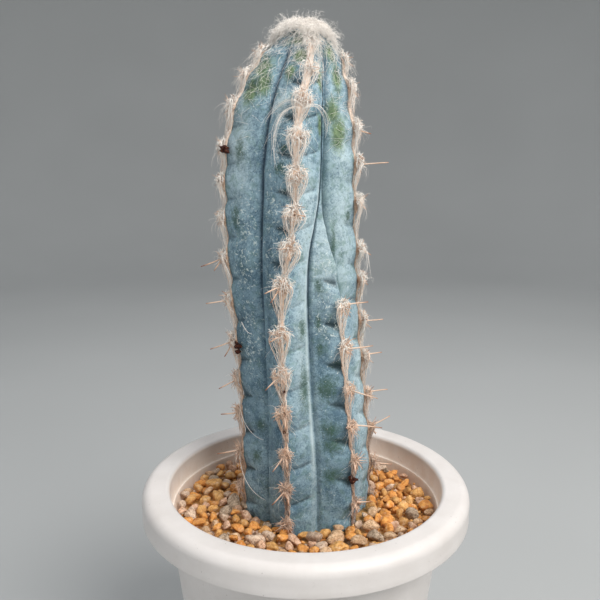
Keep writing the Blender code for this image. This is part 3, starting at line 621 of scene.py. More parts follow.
def fold_share(rib, across, height):
    """The crease between two swellings of a rib, midway between their areoles, and the shoulder under it."""
    beside = np.abs(across)
    phase = areole_phase(rib, height - FOLD_RISE * beside * 2)
    passed = np.floor(phase)
    above = (phase - passed - 0.5) * AREOLE_PITCH
    uneven = 0.72 + 0.28 * np.sin(12.9 * passed + 7.1 * rib + 2.0 * np.sign(across))
    notch = np.clip(1 - beside / (0.30 + 0.20 * uneven), 0, 1)
    width = np.where(above > 0, 0.0007 + 0.0024 * notch, 0.0005 + 0.0011 * notch)
    reach = 1 - ease(0.20 + 0.10 * uneven, 0.42 + 0.32 * uneven, beside)
    strength = ease(-0.02, -0.005, height) * (1 - ease(0.176, 0.188, height))
    strength = strength * rib_share(rib, height) * uneven
    if rib == FRONT_RIB:
        long_ones = across > 0
        width = np.where(long_ones, 0.0006, width)
        reach = np.where(long_ones, 1 - ease(0.62, 0.90, beside), reach)
    if rib == SHORT_RIB:
        strength = strength * (1 - ease(SHORT_RIB_TUFTS_END, SHORT_RIB_TUFTS_END + 0.012, height))
    if rib == SHORT_RIB + 1:
        strength = strength * 0.55
    crease = np.exp(-np.abs(above) / width) * reach * strength
    shoulder = np.exp(-(((above + 0.0034) / 0.0016) ** 2)) * reach * strength
    return crease, shoulder


def rib_relief(rib, across, height):
    """How far a rib's skin stands out of its plain form, and the marks that the skin's material reads."""
    fold, shoulder = fold_share(rib, across, height)
    away = (1 - np.abs(across)) * girth(height) * 0.52
    shown = ease(-0.02, -0.01, height) * (1 - 0.8 * ease(0.185, 0.195, height))
    sharp = shown * (0.35 + 0.65 * ease(0.035, 0.100, height))
    lip_and_highlight = np.exp(-(((away - 0.0019) / 0.0009) ** 2)) * shown
    depth = FOLD_DEPTH * (0.25 + 0.75 * ease(0.03, 0.18, np.abs(across)))
    notch = FURROW_DEPTH * np.exp(-away / 0.0009) * sharp
    lit = (across > 0) * ease(0.0, 0.03, height) * (1 - ease(0.125, 0.150, height))
    shadow = (across < 0) * ease(0.075, 0.090, height) * (1 - ease(0.150, 0.175, height))
    # The furrow and fold marks paint shade into the furrows and creases, the lip mark paints a highlight on
    # the lit lips, and the shade mark paints shade beside the left furrow of rib 3
    marks = {
        "fold": fold,
        "furrow": np.exp(-away / 0.0013) * sharp,
        "lip_and_highlight": lip_and_highlight * lit * (rib in (FRONT_RIB, SHORT_RIB)),
        "shade": np.exp(-away / 0.0025) * shadow * (rib == SHORT_RIB + 1),
    }
    return -depth * fold + 0.0005 * shoulder - notch + 0.0004 * lip_and_highlight, marks


def crest_frame(rib, height):
    """Crest points with their directions: along the rib, out of the skin, and sideways."""
    height = np.asarray(height, float)
    zero = np.zeros_like(height)
    place = skin(rib, zero, height)
    up = unit(skin(rib, zero, height + 0.0005) - skin(rib, zero, height - 0.0005))
    angle = np.radians(rib_angle(rib, zero, height))
    radial = np.stack([np.sin(angle), -np.cos(angle), zero], axis=-1)
    out = unit(radial - up * np.sum(radial * up, axis=-1, keepdims=True))
    return place, up, out, np.cross(up, out)


def on_crest(rib, height, side, out):
    """Points beside and above a crest."""
    place, _, outward, sideways = crest_frame(rib, np.clip(height, STEM_FOOT, STEM_TOP - 0.0012))
    return place + sideways * np.asarray(side)[..., None] + outward * np.asarray(out)[..., None]


def patch_mask(points, patches):
    """How much of a patch each point of the skin carries: 1 at a patch's centre."""
    mask = np.zeros(len(points))
    for rib, across, height, half_width, half_height in patches:
        centre = skin(rib, np.array(across), np.array(height))
        flat = np.linalg.norm((points - centre)[:, :2], axis=1) / half_width
        tall = (points[:, 2] - centre[2]) / half_height
        mask = np.maximum(mask, np.exp(-0.7 * (flat**2 + tall**2)))
    return mask


def make_stem():
    half = np.linspace(-1, 1, COLUMNS_PER_RIB + 1)[:-1]
    across = np.sign(half) * (1 - (1 - np.abs(half)) ** 1.25)
    low_rows = [STEM_FOOT + 0.0002, STEM_FOOT + 0.0015, STEM_FOOT + 0.0060, TAPER_TOP, -0.0230]
    rows = np.array(low_rows + list(np.arange(-0.0190, 0.1984, ROW_STEP)) + [0.1988, 0.1991])
    a, h = np.meshgrid(across, rows)
    taper = np.sqrt(1 - (1 - np.clip((h - STEM_FOOT) / (TAPER_TOP - STEM_FOOT), 0, 1)) ** 4)
    grids, marks = [], []
    for rib in range(RIBS):
        relief, rib_marks = rib_relief(rib, a, h)
        grids.append(skin(rib, a, h, relief, taper))
        marks.append(rib_marks)
    points = np.concatenate(grids, axis=1)
    rings, columns = points.shape[:2]
    points = points.reshape(-1, 3)
    height = points[:, 2] - POT_HEIGHT
    middle = np.stack([along(STEM_BOW, height), np.full(len(points), STEM_BACK), points[:, 2]], -1)
    fade = 1 - ease(0.190, 0.197, height)
    uneven = 0.00035 * lumps(points, 0.0090, 2) + 0.00014 * lumps(points, 0.0026, 2)
    points = points + unit(points - middle) * (uneven * fade)[:, None]
    ends = [[float(along(STEM_BOW, end)), STEM_BACK, POT_HEIGHT + end] for end in (STEM_TOP, STEM_FOOT)]
    verts = np.concatenate([points, ends])
    tip, foot = len(points), len(points) + 1
    faces = quads(rings, columns) + fan(tip, tip - columns, columns) + fan(foot, 0, columns, flip=True)
    stem = add_piece("stem_skin", verts, faces, skin_material())
    for name in marks[0]:
        set_attribute(stem, name, np.append(np.concatenate([m[name] for m in marks], axis=1), [0.0, 0.0]))
    for name, patches in PATCHES.items():
        set_attribute(stem, name, patch_mask(verts, patches))
    dress(stem, "skin", "stem")


# The pot


def arc(centre_r, centre_z, radius, start, end, steps):
    angles = np.radians(np.linspace(start, end, steps + 1))
    return [(centre_r + radius * math.cos(t), centre_z + radius * math.sin(t)) for t in angles]


def body_radius(z):
    return BODY_RADIUS_FOOT + (BODY_RADIUS_TOP - BODY_RADIUS_FOOT) * z / (POT_HEIGHT - RIM_DEPTH)


def pot_profile():
    """The outline from the underside's middle, out and up over the rim, and back to the floor's middle."""
    foot = body_radius(0)
    foot_inside = foot - FOOT_WIDTH
    rim_under = POT_HEIGHT - RIM_THICKNESS
    rim_bottom = POT_HEIGHT - RIM_DEPTH
    ledge = POT_HEIGHT - LEDGE_BELOW_RIM
    floor_top = FOOT_RECESS + WALL
    lip_wall = LIP_RADIUS - DRAFT
    skirt = RIM_RADIUS - SKIRT_THICKNESS
    neck = body_radius(rim_bottom)
    profile = [(0, FOOT_RECESS), (foot_inside - 0.0010, FOOT_RECESS), (foot_inside - 0.0003, 0.0006)]
    profile += arc(foot_inside + 0.0008, 0.0008, 0.0008, 200, 270, 3)
    profile += arc(foot - 0.0012, 0.0012, 0.0012, 270, 355, 4)
    profile += [(body_radius(z), z) for z in np.linspace(0.006, rim_bottom - 0.002, 8)]
    profile += [(neck, rim_bottom - 0.0010), (neck - 0.0002, rim_bottom + 0.0015)]
    profile += [(lip_wall + WALL, rim_under - 0.0012), (lip_wall + WALL + 0.0012, rim_under)]
    profile += arc(skirt - 0.0012, rim_under - 0.0012, 0.0012, 90, 0, 4)
    profile += [(skirt + 0.0004, rim_bottom + 0.0006)]
    profile += arc(RIM_RADIUS - 0.0006, rim_bottom + 0.0006, 0.0006, 190, 360, 5)
    profile += [(RIM_RADIUS - 0.00012, rim_bottom + 0.0030), (RIM_RADIUS - 0.00010, rim_bottom + 0.0055)]
    profile += arc(RIM_RADIUS - RIM_SHOULDER, POT_HEIGHT - RIM_SHOULDER, RIM_SHOULDER, 0, 90, 10)
    profile += arc(LIP_RADIUS + LIP_ROUNDING, POT_HEIGHT - LIP_ROUNDING, LIP_ROUNDING, 90, 180, 8)
    profile += [(lip_wall, ledge + 0.0012)]
    profile += arc(body_radius(ledge) - WALL + 0.0003, ledge, 0.0003, 60, 180, 3)
    profile += [(body_radius(z) - WALL, z) for z in np.linspace(ledge - 0.0012, 2 * floor_top, 8)]
    profile += [(body_radius(floor_top) - 2 * WALL, floor_top), (0, floor_top)]
    return profile


def drill_holes(pot):
    """Cuts the drain holes through the pot's floor."""
    drills = []
    for k in range(DRAIN_COUNT):
        angle = 2 * math.pi * k / DRAIN_COUNT
        middle = np.array([DRAIN_RING * math.sin(angle), DRAIN_RING * math.cos(angle), 0.0])
        turn = np.linspace(0, 2 * math.pi, DRILL_SIDES, endpoint=False)
        ring = np.stack([DRAIN_RADIUS * np.cos(turn), DRAIN_RADIUS * np.sin(turn), 0 * turn], -1) + middle
        verts = np.concatenate([ring - (0, 0, 0.01), ring + (0, 0, 0.02)])
        faces = quads(2, DRILL_SIDES)
        faces += [tuple(range(DRILL_SIDES - 1, -1, -1)), tuple(range(DRILL_SIDES, 2 * DRILL_SIDES))]
        drills.append(add_piece(f"drill_{k}", verts, faces, pot.data.materials[0], smooth=False))
        cut = pot.modifiers.new(f"hole_{k}", "BOOLEAN")
        cut.operation = "DIFFERENCE"
        cut.object = drills[-1]
    bpy.context.view_layer.update()
    whole = bpy.data.meshes.new_from_object(pot.evaluated_get(bpy.context.evaluated_depsgraph_get()))
    pot.modifiers.clear()
    pot.data = whole
    for drill in drills:
        bpy.data.objects.remove(drill)
    whole.shade_smooth()
    whole.set_sharp_from_angle(angle=math.radians(45))


def make_pot():
    profile = pot_profile()
    inner = profile[1:-1]
    angles = np.linspace(0, 2 * math.pi, POT_SEGMENTS, endpoint=False)
    verts = [(0, 0, profile[0][1]), (0, 0, profile[-1][1])]
    for r, z in inner:
        verts += [(r * math.sin(t), -r * math.cos(t), z) for t in angles]
    faces = quads(len(inner), POT_SEGMENTS, 2) + fan(0, 2, POT_SEGMENTS, flip=True)
    faces += fan(1, len(verts) - POT_SEGMENTS, POT_SEGMENTS)
    pot = add_piece("pot_shell", verts, faces, pot_material())
    drill_holes(pot)

    co = np.zeros(len(pot.data.vertices) * 3)
    pot.data.vertices.foreach_get("co", co)
    co = co.reshape(-1, 3)
    reach = np.hypot(co[:, 0], co[:, 1])
    depth = POT_HEIGHT - co[:, 2]
    body_middle = body_radius(co[:, 2]) - 0.5 * WALL
    wall_middle = np.where(depth < LEDGE_BELOW_RIM, LIP_RADIUS + 0.0004, body_middle)
    inside = (reach < wall_middle) & (co[:, 2] > FOOT_RECESS + 0.0005)
    # Stain and painted light on the inside, strongest deep down where the pot's shade falls
    set_attribute(pot, "stain_and_painted_light", np.where(inside, 0.35 + 0.65 * ease(0.001, 0.012, depth), 0.0))
    dress(pot, "pot_plastic", "pot")


# Small closed forms that are collected into pieces


def tubes(paths, radius, sides=3, taper=0.7):
    """Closed, tapered tubes along the paths, as (points, faces); radius is one number or one a path."""
    count, steps = paths.shape[:2]
    tangent = unit(np.gradient(paths, axis=1))
    chord = paths[:, -1] - paths[:, 0]
    bend = np.cross(paths[:, steps // 2] - paths[:, 0], chord)
    spare = np.cross(chord, np.array([0.31, 0.52, 0.79]))
    weak = np.linalg.norm(bend, axis=1) < 0.05 * np.linalg.norm(chord, axis=1) ** 2
    bend = np.where(weak[:, None], spare, bend)
    first = unit(np.cross(tangent, bend[:, None, :]))
    second = np.cross(tangent, first)
    thinning = 1 - taper * np.linspace(0, 1, steps) ** 1.5
    size = np.broadcast_to(np.asarray(radius, float), (count,))[:, None] * thinning
    turn = 2 * math.pi * np.arange(sides) / sides
    points = (
        paths[:, :, None, :]
        + size[:, :, None, None] * np.cos(turn)[None, None, :, None] * first[:, :, None, :]
        + size[:, :, None, None] * np.sin(turn)[None, None, :, None] * second[:, :, None, :]
    )
    index = np.arange(count * steps * sides).reshape(count, steps, sides)
    low, high = index[:, :-1], index[:, 1:]
    walls = np.stack([low, high, np.roll(high, -1, axis=2), np.roll(low, -1, axis=2)], axis=-1)
    roots = index[:, 0].reshape(-1, sides)
    tips = index[:, -1, ::-1].reshape(-1, sides)
    return points.reshape(-1, 3), walls.reshape(-1, 4).tolist() + roots.tolist() + tips.tolist()


class Bundle:
    """Collects stones, hairs or other small closed forms with their marks, and turns them into one piece."""

    def __init__(self):
        self.verts, self.faces, self.marks, self.start = [], [], {}, 0

    def put(self, points, faces, **marks):
        self.verts.append(points)
        self.faces += [[k + self.start for k in face] for face in faces]
        self.start += len(points)
        for name, values in marks.items():
            self.marks.setdefault(name, []).append(np.broadcast_to(values, len(points)))

    def hairs(self, paths, radius, tones, white, sides=3, taper=0.7):
        points, faces = tubes(paths, radius, sides, taper)
        per_hair = paths.shape[1] * sides
        whites = np.broadcast_to(white, len(paths))
        self.put(points, faces, tone=np.repeat(tones, per_hair), white=np.repeat(whites, per_hair))

    def piece(self, name, material, slot, *nodes):
        verts = np.concatenate(self.verts)
        verts[:, 2] = np.minimum(verts[:, 2], POT_HEIGHT + HIGHEST_POINT)
        obj = add_piece(name, verts, self.faces, material)
        for mark, values in self.marks.items():
            set_attribute(obj, mark, np.concatenate(values))
        dress(obj, slot, *nodes)


# Stones


def ball(levels):
    """A unit icosphere's points and triangles."""
    t = (1 + math.sqrt(5)) / 2
    verts = [(-1, t, 0), (1, t, 0), (-1, -t, 0), (1, -t, 0), (0, -1, t), (0, 1, t), (0, -1, -t), (0, 1, -t),
             (t, 0, -1), (t, 0, 1), (-t, 0, -1), (-t, 0, 1)]
    verts = [Vector(v).normalized() for v in verts]
    faces = [(0, 11, 5), (0, 5, 1), (0, 1, 7), (0, 7, 10), (0, 10, 11), (1, 5, 9), (5, 11, 4), (11, 10, 2),
             (10, 7, 6), (7, 1, 8), (3, 9, 4), (3, 4, 2), (3, 2, 6), (3, 6, 8), (3, 8, 9), (4, 9, 5),
             (2, 4, 11), (6, 2, 10), (8, 6, 7), (9, 8, 1)]
    for _ in range(levels):
        middles = {}

        def middle(a, b):
            key = (min(a, b), max(a, b))
            if key not in middles:
                middles[key] = len(verts)
                verts.append((verts[a] + verts[b]).normalized())
            return middles[key]

        split = []
        for a, b, c in faces:
            ab, bc, ca = middle(a, b), middle(b, c), middle(c, a)
            split += [(a, ab, ca), (b, bc, ab), (c, ca, bc), (ab, bc, ca)]
        faces = split
    return np.array([tuple(v) for v in verts]), faces


def stone_shape(directions, radius, rng, rough=0.08):
    """A worn piece of grit: a ball cut by soft planes, then squashed and turned."""
    planes = unit(rng.normal(size=(9, 3)))
    far = rng.uniform(0.60, 0.95, 9)
    reach = np.maximum(directions @ planes.T, 0) / far
    size = (np.sum(reach**16, axis=1) + 0.80**16) ** (-1 / 16)
    shift = rng.uniform(-50, 50, 3)
    size = size * (1 + rough * lumps(directions * 0.001 + shift, 0.00050, 3))
    squash = np.array([1.0, rng.uniform(0.62, 0.95), rng.uniform(0.55, 0.85)])
    turn = Matrix.Rotation(rng.uniform(0, 2 * math.pi), 3, "Z")
    turn = turn @ Matrix.Rotation(rng.uniform(-0.5, 0.5), 3, "X")
    turn = turn @ Matrix.Rotation(rng.uniform(-0.4, 0.4), 3, "Y")
    return directions * size[:, None] * radius * squash @ np.array(turn).T


def inner_radius(height):
    return body_radius(POT_HEIGHT + height) - WALL


def stem_clearance(x, y):
    """Distance from a place in the gravel to the stem's round outline there."""
    return math.hypot(x - float(along(STEM_BOW, 0)), y - STEM_BACK) - float(girth(0)) * 0.93


def sow_stones(rng):
    """The stones as (x, y, half width, kind, layer): first those listed, then each layer's."""
    outer = inner_radius(-0.014) - 0.0004
    kinds = list(STONES)
    odds_left, odds_right = np.array([row[2:] for row in STONES.values()]).T
    placed = [(*stone, "top") for stone in KEY_STONES]
    for layer, (_, count, low, high, spacing, tries) in LAYERS.items():
        made = 0
        for _ in range(tries):
            if made == count:
                break
            r = high - (high - low) * (made / count) ** 0.8 * rng.uniform(0.75, 1.0)
            t = rng.uniform(0, 2 * math.pi)
            reach = math.sqrt(rng.uniform(0.020**2, outer**2))
            x, y = reach * math.sin(t), -reach * math.cos(t)
            if reach + 0.9 * r > outer or stem_clearance(x, y) < 0.75 * r:
                continue
            beside = [p for p in placed if p[4] == layer]
            if any(math.hypot(x - p[0], y - p[1]) < spacing * (r + p[2]) for p in beside):
                continue
            odds = odds_right if x > MIX_EDGE else odds_left
            placed.append((x, y, r, kinds[rng.choice(len(kinds), p=odds)], layer))
            made += 1
    return placed


def make_stones(rng):
    """The loose stones, one piece for each kind."""
    placed = sow_stones(rng)
    fine, coarse = ball(2), ball(1)
    for kind in STONES:
        bundle = Bundle()
        for x, y, r, _, layer in [stone for stone in placed if stone[3] == kind]:
            directions, triangles = fine if layer == "top" else coarse
            points = stone_shape(directions, r, rng)
            level = LAYERS[layer][0] + rng.uniform(-0.0010, 0.0010)
            if layer == "top":
                level += 0.60 * (r - 0.0025)
            lift = level - points[:, 2].max()
            if stem_clearance(x, y) < 1.5 * r:
                # Beside the stem no other stones carry it, so it lies on the grit
                lift = min(lift, GRIT_TOP + 0.0006 - points[:, 2].min())
            bundle.put(points + np.array([x, y, POT_HEIGHT + lift]), triangles, shade=rng.uniform(0, 1))
        bundle.piece(f"gravel_{kind}", stone_material(kind), "gravel", "gravel")


def make_grit_bed():
    """The close bed of grit under and between the stones, a closed ring round the stem."""
    across = np.linspace(-1, 1, COLUMNS_PER_RIB + 1)[:-1]
    height = np.full(len(across), GRIT_TOP)
    hole = np.concatenate([skin(rib, across, height, GAP * 1.25) for rib in range(RIBS)])[:, :2]
    middle = np.array([float(along(STEM_BOW, GRIT_TOP)), STEM_BACK])
    rim = unit(hole - middle) * (inner_radius(GRAVEL_UNDER) - GAP)
    columns, steps = len(hole), 26
    level = np.full(columns, POT_HEIGHT + GRIT_TOP)
    top = []
    for k in range(steps + 1):
        share = k / steps
        top.append(np.column_stack([hole * (1 - share) + rim * share, level]))
    bottom = np.array([top[-1], top[0]])
    bottom[:, :, 2] = POT_HEIGHT + GRAVEL_UNDER
    top = np.concatenate(top)
    top[:, 2] += 0.0007 * lumps(top, 0.0016, 2)
    verts = np.concatenate([top, bottom.reshape(-1, 3)])
    faces = quads(steps + 3, columns, closed=True, flip=True)
    bed = add_piece("gravel_grit", verts, faces, stone_material("ochre"))
    set_attribute(bed, "shade", np.full(len(verts), 1.0))
    dress(bed, "gravel", "gravel")


# Hairs and spines


def bezier(controls, count):
    """Samples cubic curves: controls is (curve, 4, 3), the result (curve, count, 3)."""
    t = np.linspace(0, 1, count)[None, :, None]
    a, b, c, d = (controls[:, k][:, None, :] for k in range(4))
    return (1 - t) ** 3 * a + 3 * (1 - t) ** 2 * t * b + 3 * (1 - t) * t**2 * c + t**3 * d


def strands(controls, steps, curl, rng, most=1.5):
    """Hairs along curves given as four rows of points, with a soft curl that grows towards each tip."""
    paths = bezier(np.stack(controls, axis=1), steps)
    one_each = (len(paths), 1, 1)
    t = np.linspace(0, 1, steps)[None, :, None]
    for _ in range(2):
        sway = unit(rng.normal(size=(len(paths), 1, 3)))
        turns = rng.uniform(0.5, most, one_each)
        start = rng.uniform(0, 1, one_each)
        paths = paths + sway * curl * t * np.sin(2 * math.pi * (turns * t + start))
    return paths


def tuft_size(height):
    return (1 - 0.30 * ease(0.165, 0.195, height)) * (0.74 + 0.26 * ease(0.015, 0.075, height))


def rib_tufts(rib):
    """The areoles that a rib shows: (number, height, distance down to the next one)."""
    heights = AREOLES[rib]
    highest = SHORT_RIB_TUFTS_END + 0.002 if rib == SHORT_RIB else HIGHEST_AREOLE
    pairs = enumerate(zip(heights, heights[1:]), 1)
    return [(number, h, h - below) for number, (below, h) in pairs if LOWEST_AREOLE < h < highest]


def strand_radii(count, thick_share, rng):
    """Mostly fine hairs, with some strands of hairs that cling together."""
    thick = rng.uniform(0, 1, count) < thick_share
    return STRAND_RADIUS * np.where(thick, rng.uniform(1.6, 2.5, count), rng.uniform(0.8, 1.25, count))


def tuft_hairs(bundle, rib, height, pitch, rng):
    """One areole's wool: a ball of short hairs, strands that hang from it, a neck of hairs, and strays."""
    size = float(tuft_size(height)) * TUFT_SCALE[rib]
    young = float(ease(0.160, 0.185, height))
    low = 1 - float(ease(0.010, 0.070, height))
    white = 0.50 * float(ease(0.070, 0.130, height)) + 0.35 * float(ease(0.145, 0.180, height))
    age = 0.25 + 0.85 * float(ease(0.000, 0.100, height))
    bulge = TUFT_BULGE[rib]
    density = HAIR_DENSITY[rib]
    on_edge = rib in EDGE_RIBS
    u = rng.uniform

    def crest(drop, side, out):
        return on_crest(rib, height + drop, side, out)

    # The ball
    n = int((100 - 34 * low - 40 * young) * density)
    start = unit(rng.normal(size=(n, 3)) * (1.0, 0.9, 0.8) + (0, 0.30, 0.5))
    end = start + rng.normal(size=(n, 3)) * 0.60 + (0, -0.30, 0)
    controls = []
    for share in np.linspace(0, 1, 4):
        heading = unit(start * (1 - share) + end * share)
        reach = (0.62 + 0.42 * share) * u(0.85, 1.10, (n, 1))
        place = heading * (0.0055, 0.0043, 0.0029 * bulge) * size * reach
        controls.append(crest(0.0009 + place[:, 1], place[:, 0], 0.0006 + np.abs(place[:, 2])))
    paths = strands(controls, 6, 0.00035, rng)
    tones = age * np.where(u(0, 1, n) < 0.17, u(0.05, 0.40, n), u(0.85, 1.50, n))
    bundle.hairs(paths, strand_radii(n, 0.3, rng), tones, white)

    # The strands that hang from it
    n = int((30 - 12 * low - 14 * young) * density)
    lean = u(-1, 1, n)
    lean = np.sign(lean) * np.abs(lean) ** 0.6 * (1 - 0.25 * low)
    hang = 1 - 0.20 * low
    controls = (
        crest(size * u(-0.0002, 0.0026, n), 0.0030 * lean, bulge * u(0.0012, 0.0024, n)),
        crest(size * u(-0.0016, 0.0018, n), 0.0072 * size * lean * u(0.80, 1.12, n),
              bulge * size * u(0.0020, 0.0038, n) * np.sqrt(1 - 0.6 * lean**2)),
        crest(-pitch * hang * u(0.30, 0.46, n), 0.0034 * size * lean * u(0.4, 1.3, n), u(0.0004, 0.0016, n)),
        crest(-pitch * hang * u(0.50, 0.90, n), size * u(-0.0011, 0.0011, n), u(0.0001, 0.0008, n)),
    )
    paths = strands(controls, 8, 0.0011 if on_edge else 0.0006, rng)
    bundle.hairs(paths, strand_radii(n, 0.4, rng), age * u(0.35, 1.25, n), white)

    # The neck
    n = int(28 * density)
    side = size * u(-0.0013, 0.0013, n)
    begin = u(0.25, 0.75, n)
    controls = (
        crest(-pitch * begin, side * (1.8 - begin), u(0.0001, 0.0010, n)),
        crest(-pitch * (begin + 0.10), side * 1.1, u(0.0001, 0.0010, n)),
        crest(-pitch * (begin + u(0.18, 0.24, n)), side * 0.9, u(0.0001, 0.0010, n)),
        crest(-pitch * (begin + u(0.26, 0.36, n)), side * u(0.2, 1.8, n), u(0.0001, 0.0012, n)),
    )
    paths = strands(controls, 6, 0.00040, rng)
    bundle.hairs(paths, strand_radii(n, 0.25, rng), age * u(0.25, 1.10, n), white)

    # The strays
    n = int((8 + 24 * young + 8 * on_edge) * density)
    heading = np.column_stack([rng.normal(0, 1.0, n), rng.normal(-0.2, 0.8, n), u(0.1, 1.1, n)])
    heading = unit(heading) * (u(0.0045, 0.0105, n) * (0.90 - 0.20 * young))[:, None]
    side, up, out = heading.T
    controls = (
        crest(np.zeros(n), np.zeros(n), np.full(n, 0.0010)),
        crest(up * 0.35, side * 0.4, 0.0010 + out * 0.5),
        crest(up * 0.8 - 0.0010, side * 0.9, 0.0010 + out * 0.8),
        crest(up - 0.0030, side * 1.1, 0.0006 + out * 0.75),
    )
    paths = strands(controls, 9, 0.00090 + 0.00060 * young, rng, 1.5 + 0.8 * young)
    bundle.hairs(paths, STRAND_RADIUS * 0.6, u(0.6, 1.0, n), max(white, 0.3))


def felt_core(bundle, rib, tufts, rng):
    """The matted wool under the loose hairs, a lumpy band down the crest that swells at each areole."""
    highest = tufts[-1][1] + 0.0015
    rows = np.arange(max(tufts[0][1] - tufts[0][2] * 0.5, -0.0125), highest, 0.0007)
    phase = areole_phase(rib, rows)
    phase = phase - np.floor(phase)
    swelling = ((0.0, 1.0), (0.12, 0.62), (0.25, 0.28), (0.50, 0.24), (0.72, 0.32), (0.88, 0.80), (1.0, 1.0))
    share = np.interp(phase, *np.array(swelling).T)
    share = (share + (0.8 - share) * 0.7 * ease(0.13, 0.17, rows)) * tuft_size(rows) * TUFT_SCALE[rib]
    share = share * (1 - 0.6 * ease(highest - 0.003, highest, rows))
    share = share * (0.4 + 0.6 * ease(rows[0], rows[0] + 0.002, rows))
    half, tall = 0.0028 * share, 0.0011 * TUFT_BULGE[rib] * share
    loops = []
    for angle in np.linspace(0, 2 * math.pi, CORE_SIDES + 1)[:-1]:
        side, out = half * math.sin(angle), tall * max(math.cos(angle), -0.45)
        loops.append(on_crest(rib, rows, side, out + 0 * rows))
    points = np.stack(loops, axis=1)
    centre = np.repeat(points.mean(axis=1), CORE_SIDES, axis=0)
    points = points.reshape(-1, 3)
    last = len(points) - CORE_SIDES
    points = points + (points - centre) * (0.30 * lumps(points, 0.0009, 2))[:, None]
    faces = quads(len(rows), CORE_SIDES)
    faces += [range(CORE_SIDES - 1, -1, -1), range(last, last + CORE_SIDES)]
    # Darkest at each areole: the wool's own brown with painted shade of the hollow under the tuft
    tone = MAT_TONE_AND_SHADE[rib] + 0.25 * np.interp(phase, (0, 0.25, 0.75, 1.0), (0.0, 1.0, 1.0, 0.0))
    tone = np.repeat(tone, CORE_SIDES) + rng.uniform(-0.05, 0.05, len(points))
    bundle.put(points, faces, tone=tone, white=np.repeat(0.6 * ease(0.12, 0.18, rows), CORE_SIDES))


def put_spines(bundle, rib, height, heading, length, radius, taper, bow, rng):
    """Spines from inside an areole's wool; heading is (sideways, up, outwards) for each."""
    n, steps, sides = len(length), 5, 6
    u = rng.uniform
    heading = unit(heading)
    place, up, out, side = crest_frame(rib, np.full(n, height))
    root = place + out * 0.0010 + side * u(-0.0010, 0.0010, n)[:, None] + up * u(-0.0006, 0.0012, n)[:, None]
    direction = side * heading[:, :1] + up * heading[:, 1:2] + out * heading[:, 2:]
    t = np.linspace(0, 1, steps)[None, :, None]
    bend = unit(rng.normal(size=(n, 1, 3))) * (bow * length[:, None, None]) * t * (1 - t) * 4
    paths = root[:, None, :] + direction[:, None, :] * (length[:, None, None] * t) + bend
    points, faces = tubes(paths, radius, sides, taper)
    tone = np.tile(np.repeat(np.linspace(0, 1, steps), sides), n) * 0.9
    bundle.put(points, faces, tone=tone + np.repeat(u(-0.1, 0.2, n), steps * sides))


def tuft_spines(bundle, rib, number, height, rng):
    """Short spines fanned out of the wool, more on the older areoles, and the areole's long ones."""
    u = rng.uniform
    old = 1 - float(ease(0.04, 0.15, height))
    n = int(round(9 + 12 * old))
    turn = u(0, 2 * math.pi, n)
    spread = u(0.5, 1.6, n)
    heading = np.column_stack([np.cos(turn) * spread, np.sin(turn) * spread - 0.1, u(0.30, 1.0, n)])
    length = u(0.0030, 0.0056, n)
    radius = u(0.00010, 0.00018, n) * (0.9 + 0.4 * old)
    put_spines(bundle, rib, height, heading, length, radius, 0.6, 0.12, rng)
    long_ones = np.array([row[1:] for row in LONG_SPINES[rib] if row[0] == number])
    if len(long_ones):
        put_spines(bundle, rib, height, long_ones[:, :3], long_ones[:, 3], 0.00036, 0.45, 0.02, rng)


def make_areoles(rng):
    wool = wool_material("areole_wool", srgb(122, 82, 56), srgb(248, 216, 190), srgb(255, 250, 242))
    spine = spine_material()
    for rib in range(RIBS):
        tufts = rib_tufts(rib)
        hairs, spines = Bundle(), Bundle()
        felt_core(hairs, rib, tufts, rng)
        for number, height, pitch in tufts:
            tuft_hairs(hairs, rib, height, pitch, rng)
            if height < HIGHEST_SPINES:
                tuft_spines(spines, rib, number, height, rng)
        hairs.piece(f"wool_rib_{rib + 1}", wool, "wool", f"areoles_rib_{rib + 1}")
        spines.piece(f"spines_rib_{rib + 1}", spine, "wool", f"areoles_rib_{rib + 1}")


def cap(turn, share, lift):
    """Points over the tip: share 0 at the top, 1 at the cap's edge."""
    edge = float(girth(CROWN_EDGE)) + 0.0006
    reach = edge * np.sin(share * math.pi / 2)
    rise = CROWN_TOP - CROWN_MAT - CROWN_EDGE
    high = CROWN_EDGE + rise * np.cos(np.minimum(share, 1.6) * math.pi / 2)
    high = np.where(share > 1, CROWN_EDGE - (share - 1) * edge * 1.3, high)
    reach = np.where(share > 1, girth(np.minimum(high, STEM_TOP)) * 0.93 + 0.0003, reach)
    flat = reach + lift * np.sin(np.minimum(share, 1.0) * math.pi / 2)
    up = high + lift * np.cos(np.minimum(share, 1.0) * math.pi / 2)
    middle_x = float(along(STEM_BOW, CROWN_BOW_AT))
    return np.stack([middle_x + flat * np.sin(turn), STEM_BACK - flat * np.cos(turn), POT_HEIGHT + up], -1)


def hem(turn):
    """How far down the cap comes at each angle: furthest at the ribs, least over the bare skin in front."""
    corners = np.radians(CROWN_CORNERS)[:, None]
    apart = np.abs((turn - corners + math.pi) % (2 * math.pi) - math.pi)
    near = np.exp(-((np.min(apart, axis=0) / 0.28) ** 2))
    return 0.79 + 0.31 * near + 0.06 * np.sin(7 * turn + 1) + 0.05 * np.sin(13 * turn)


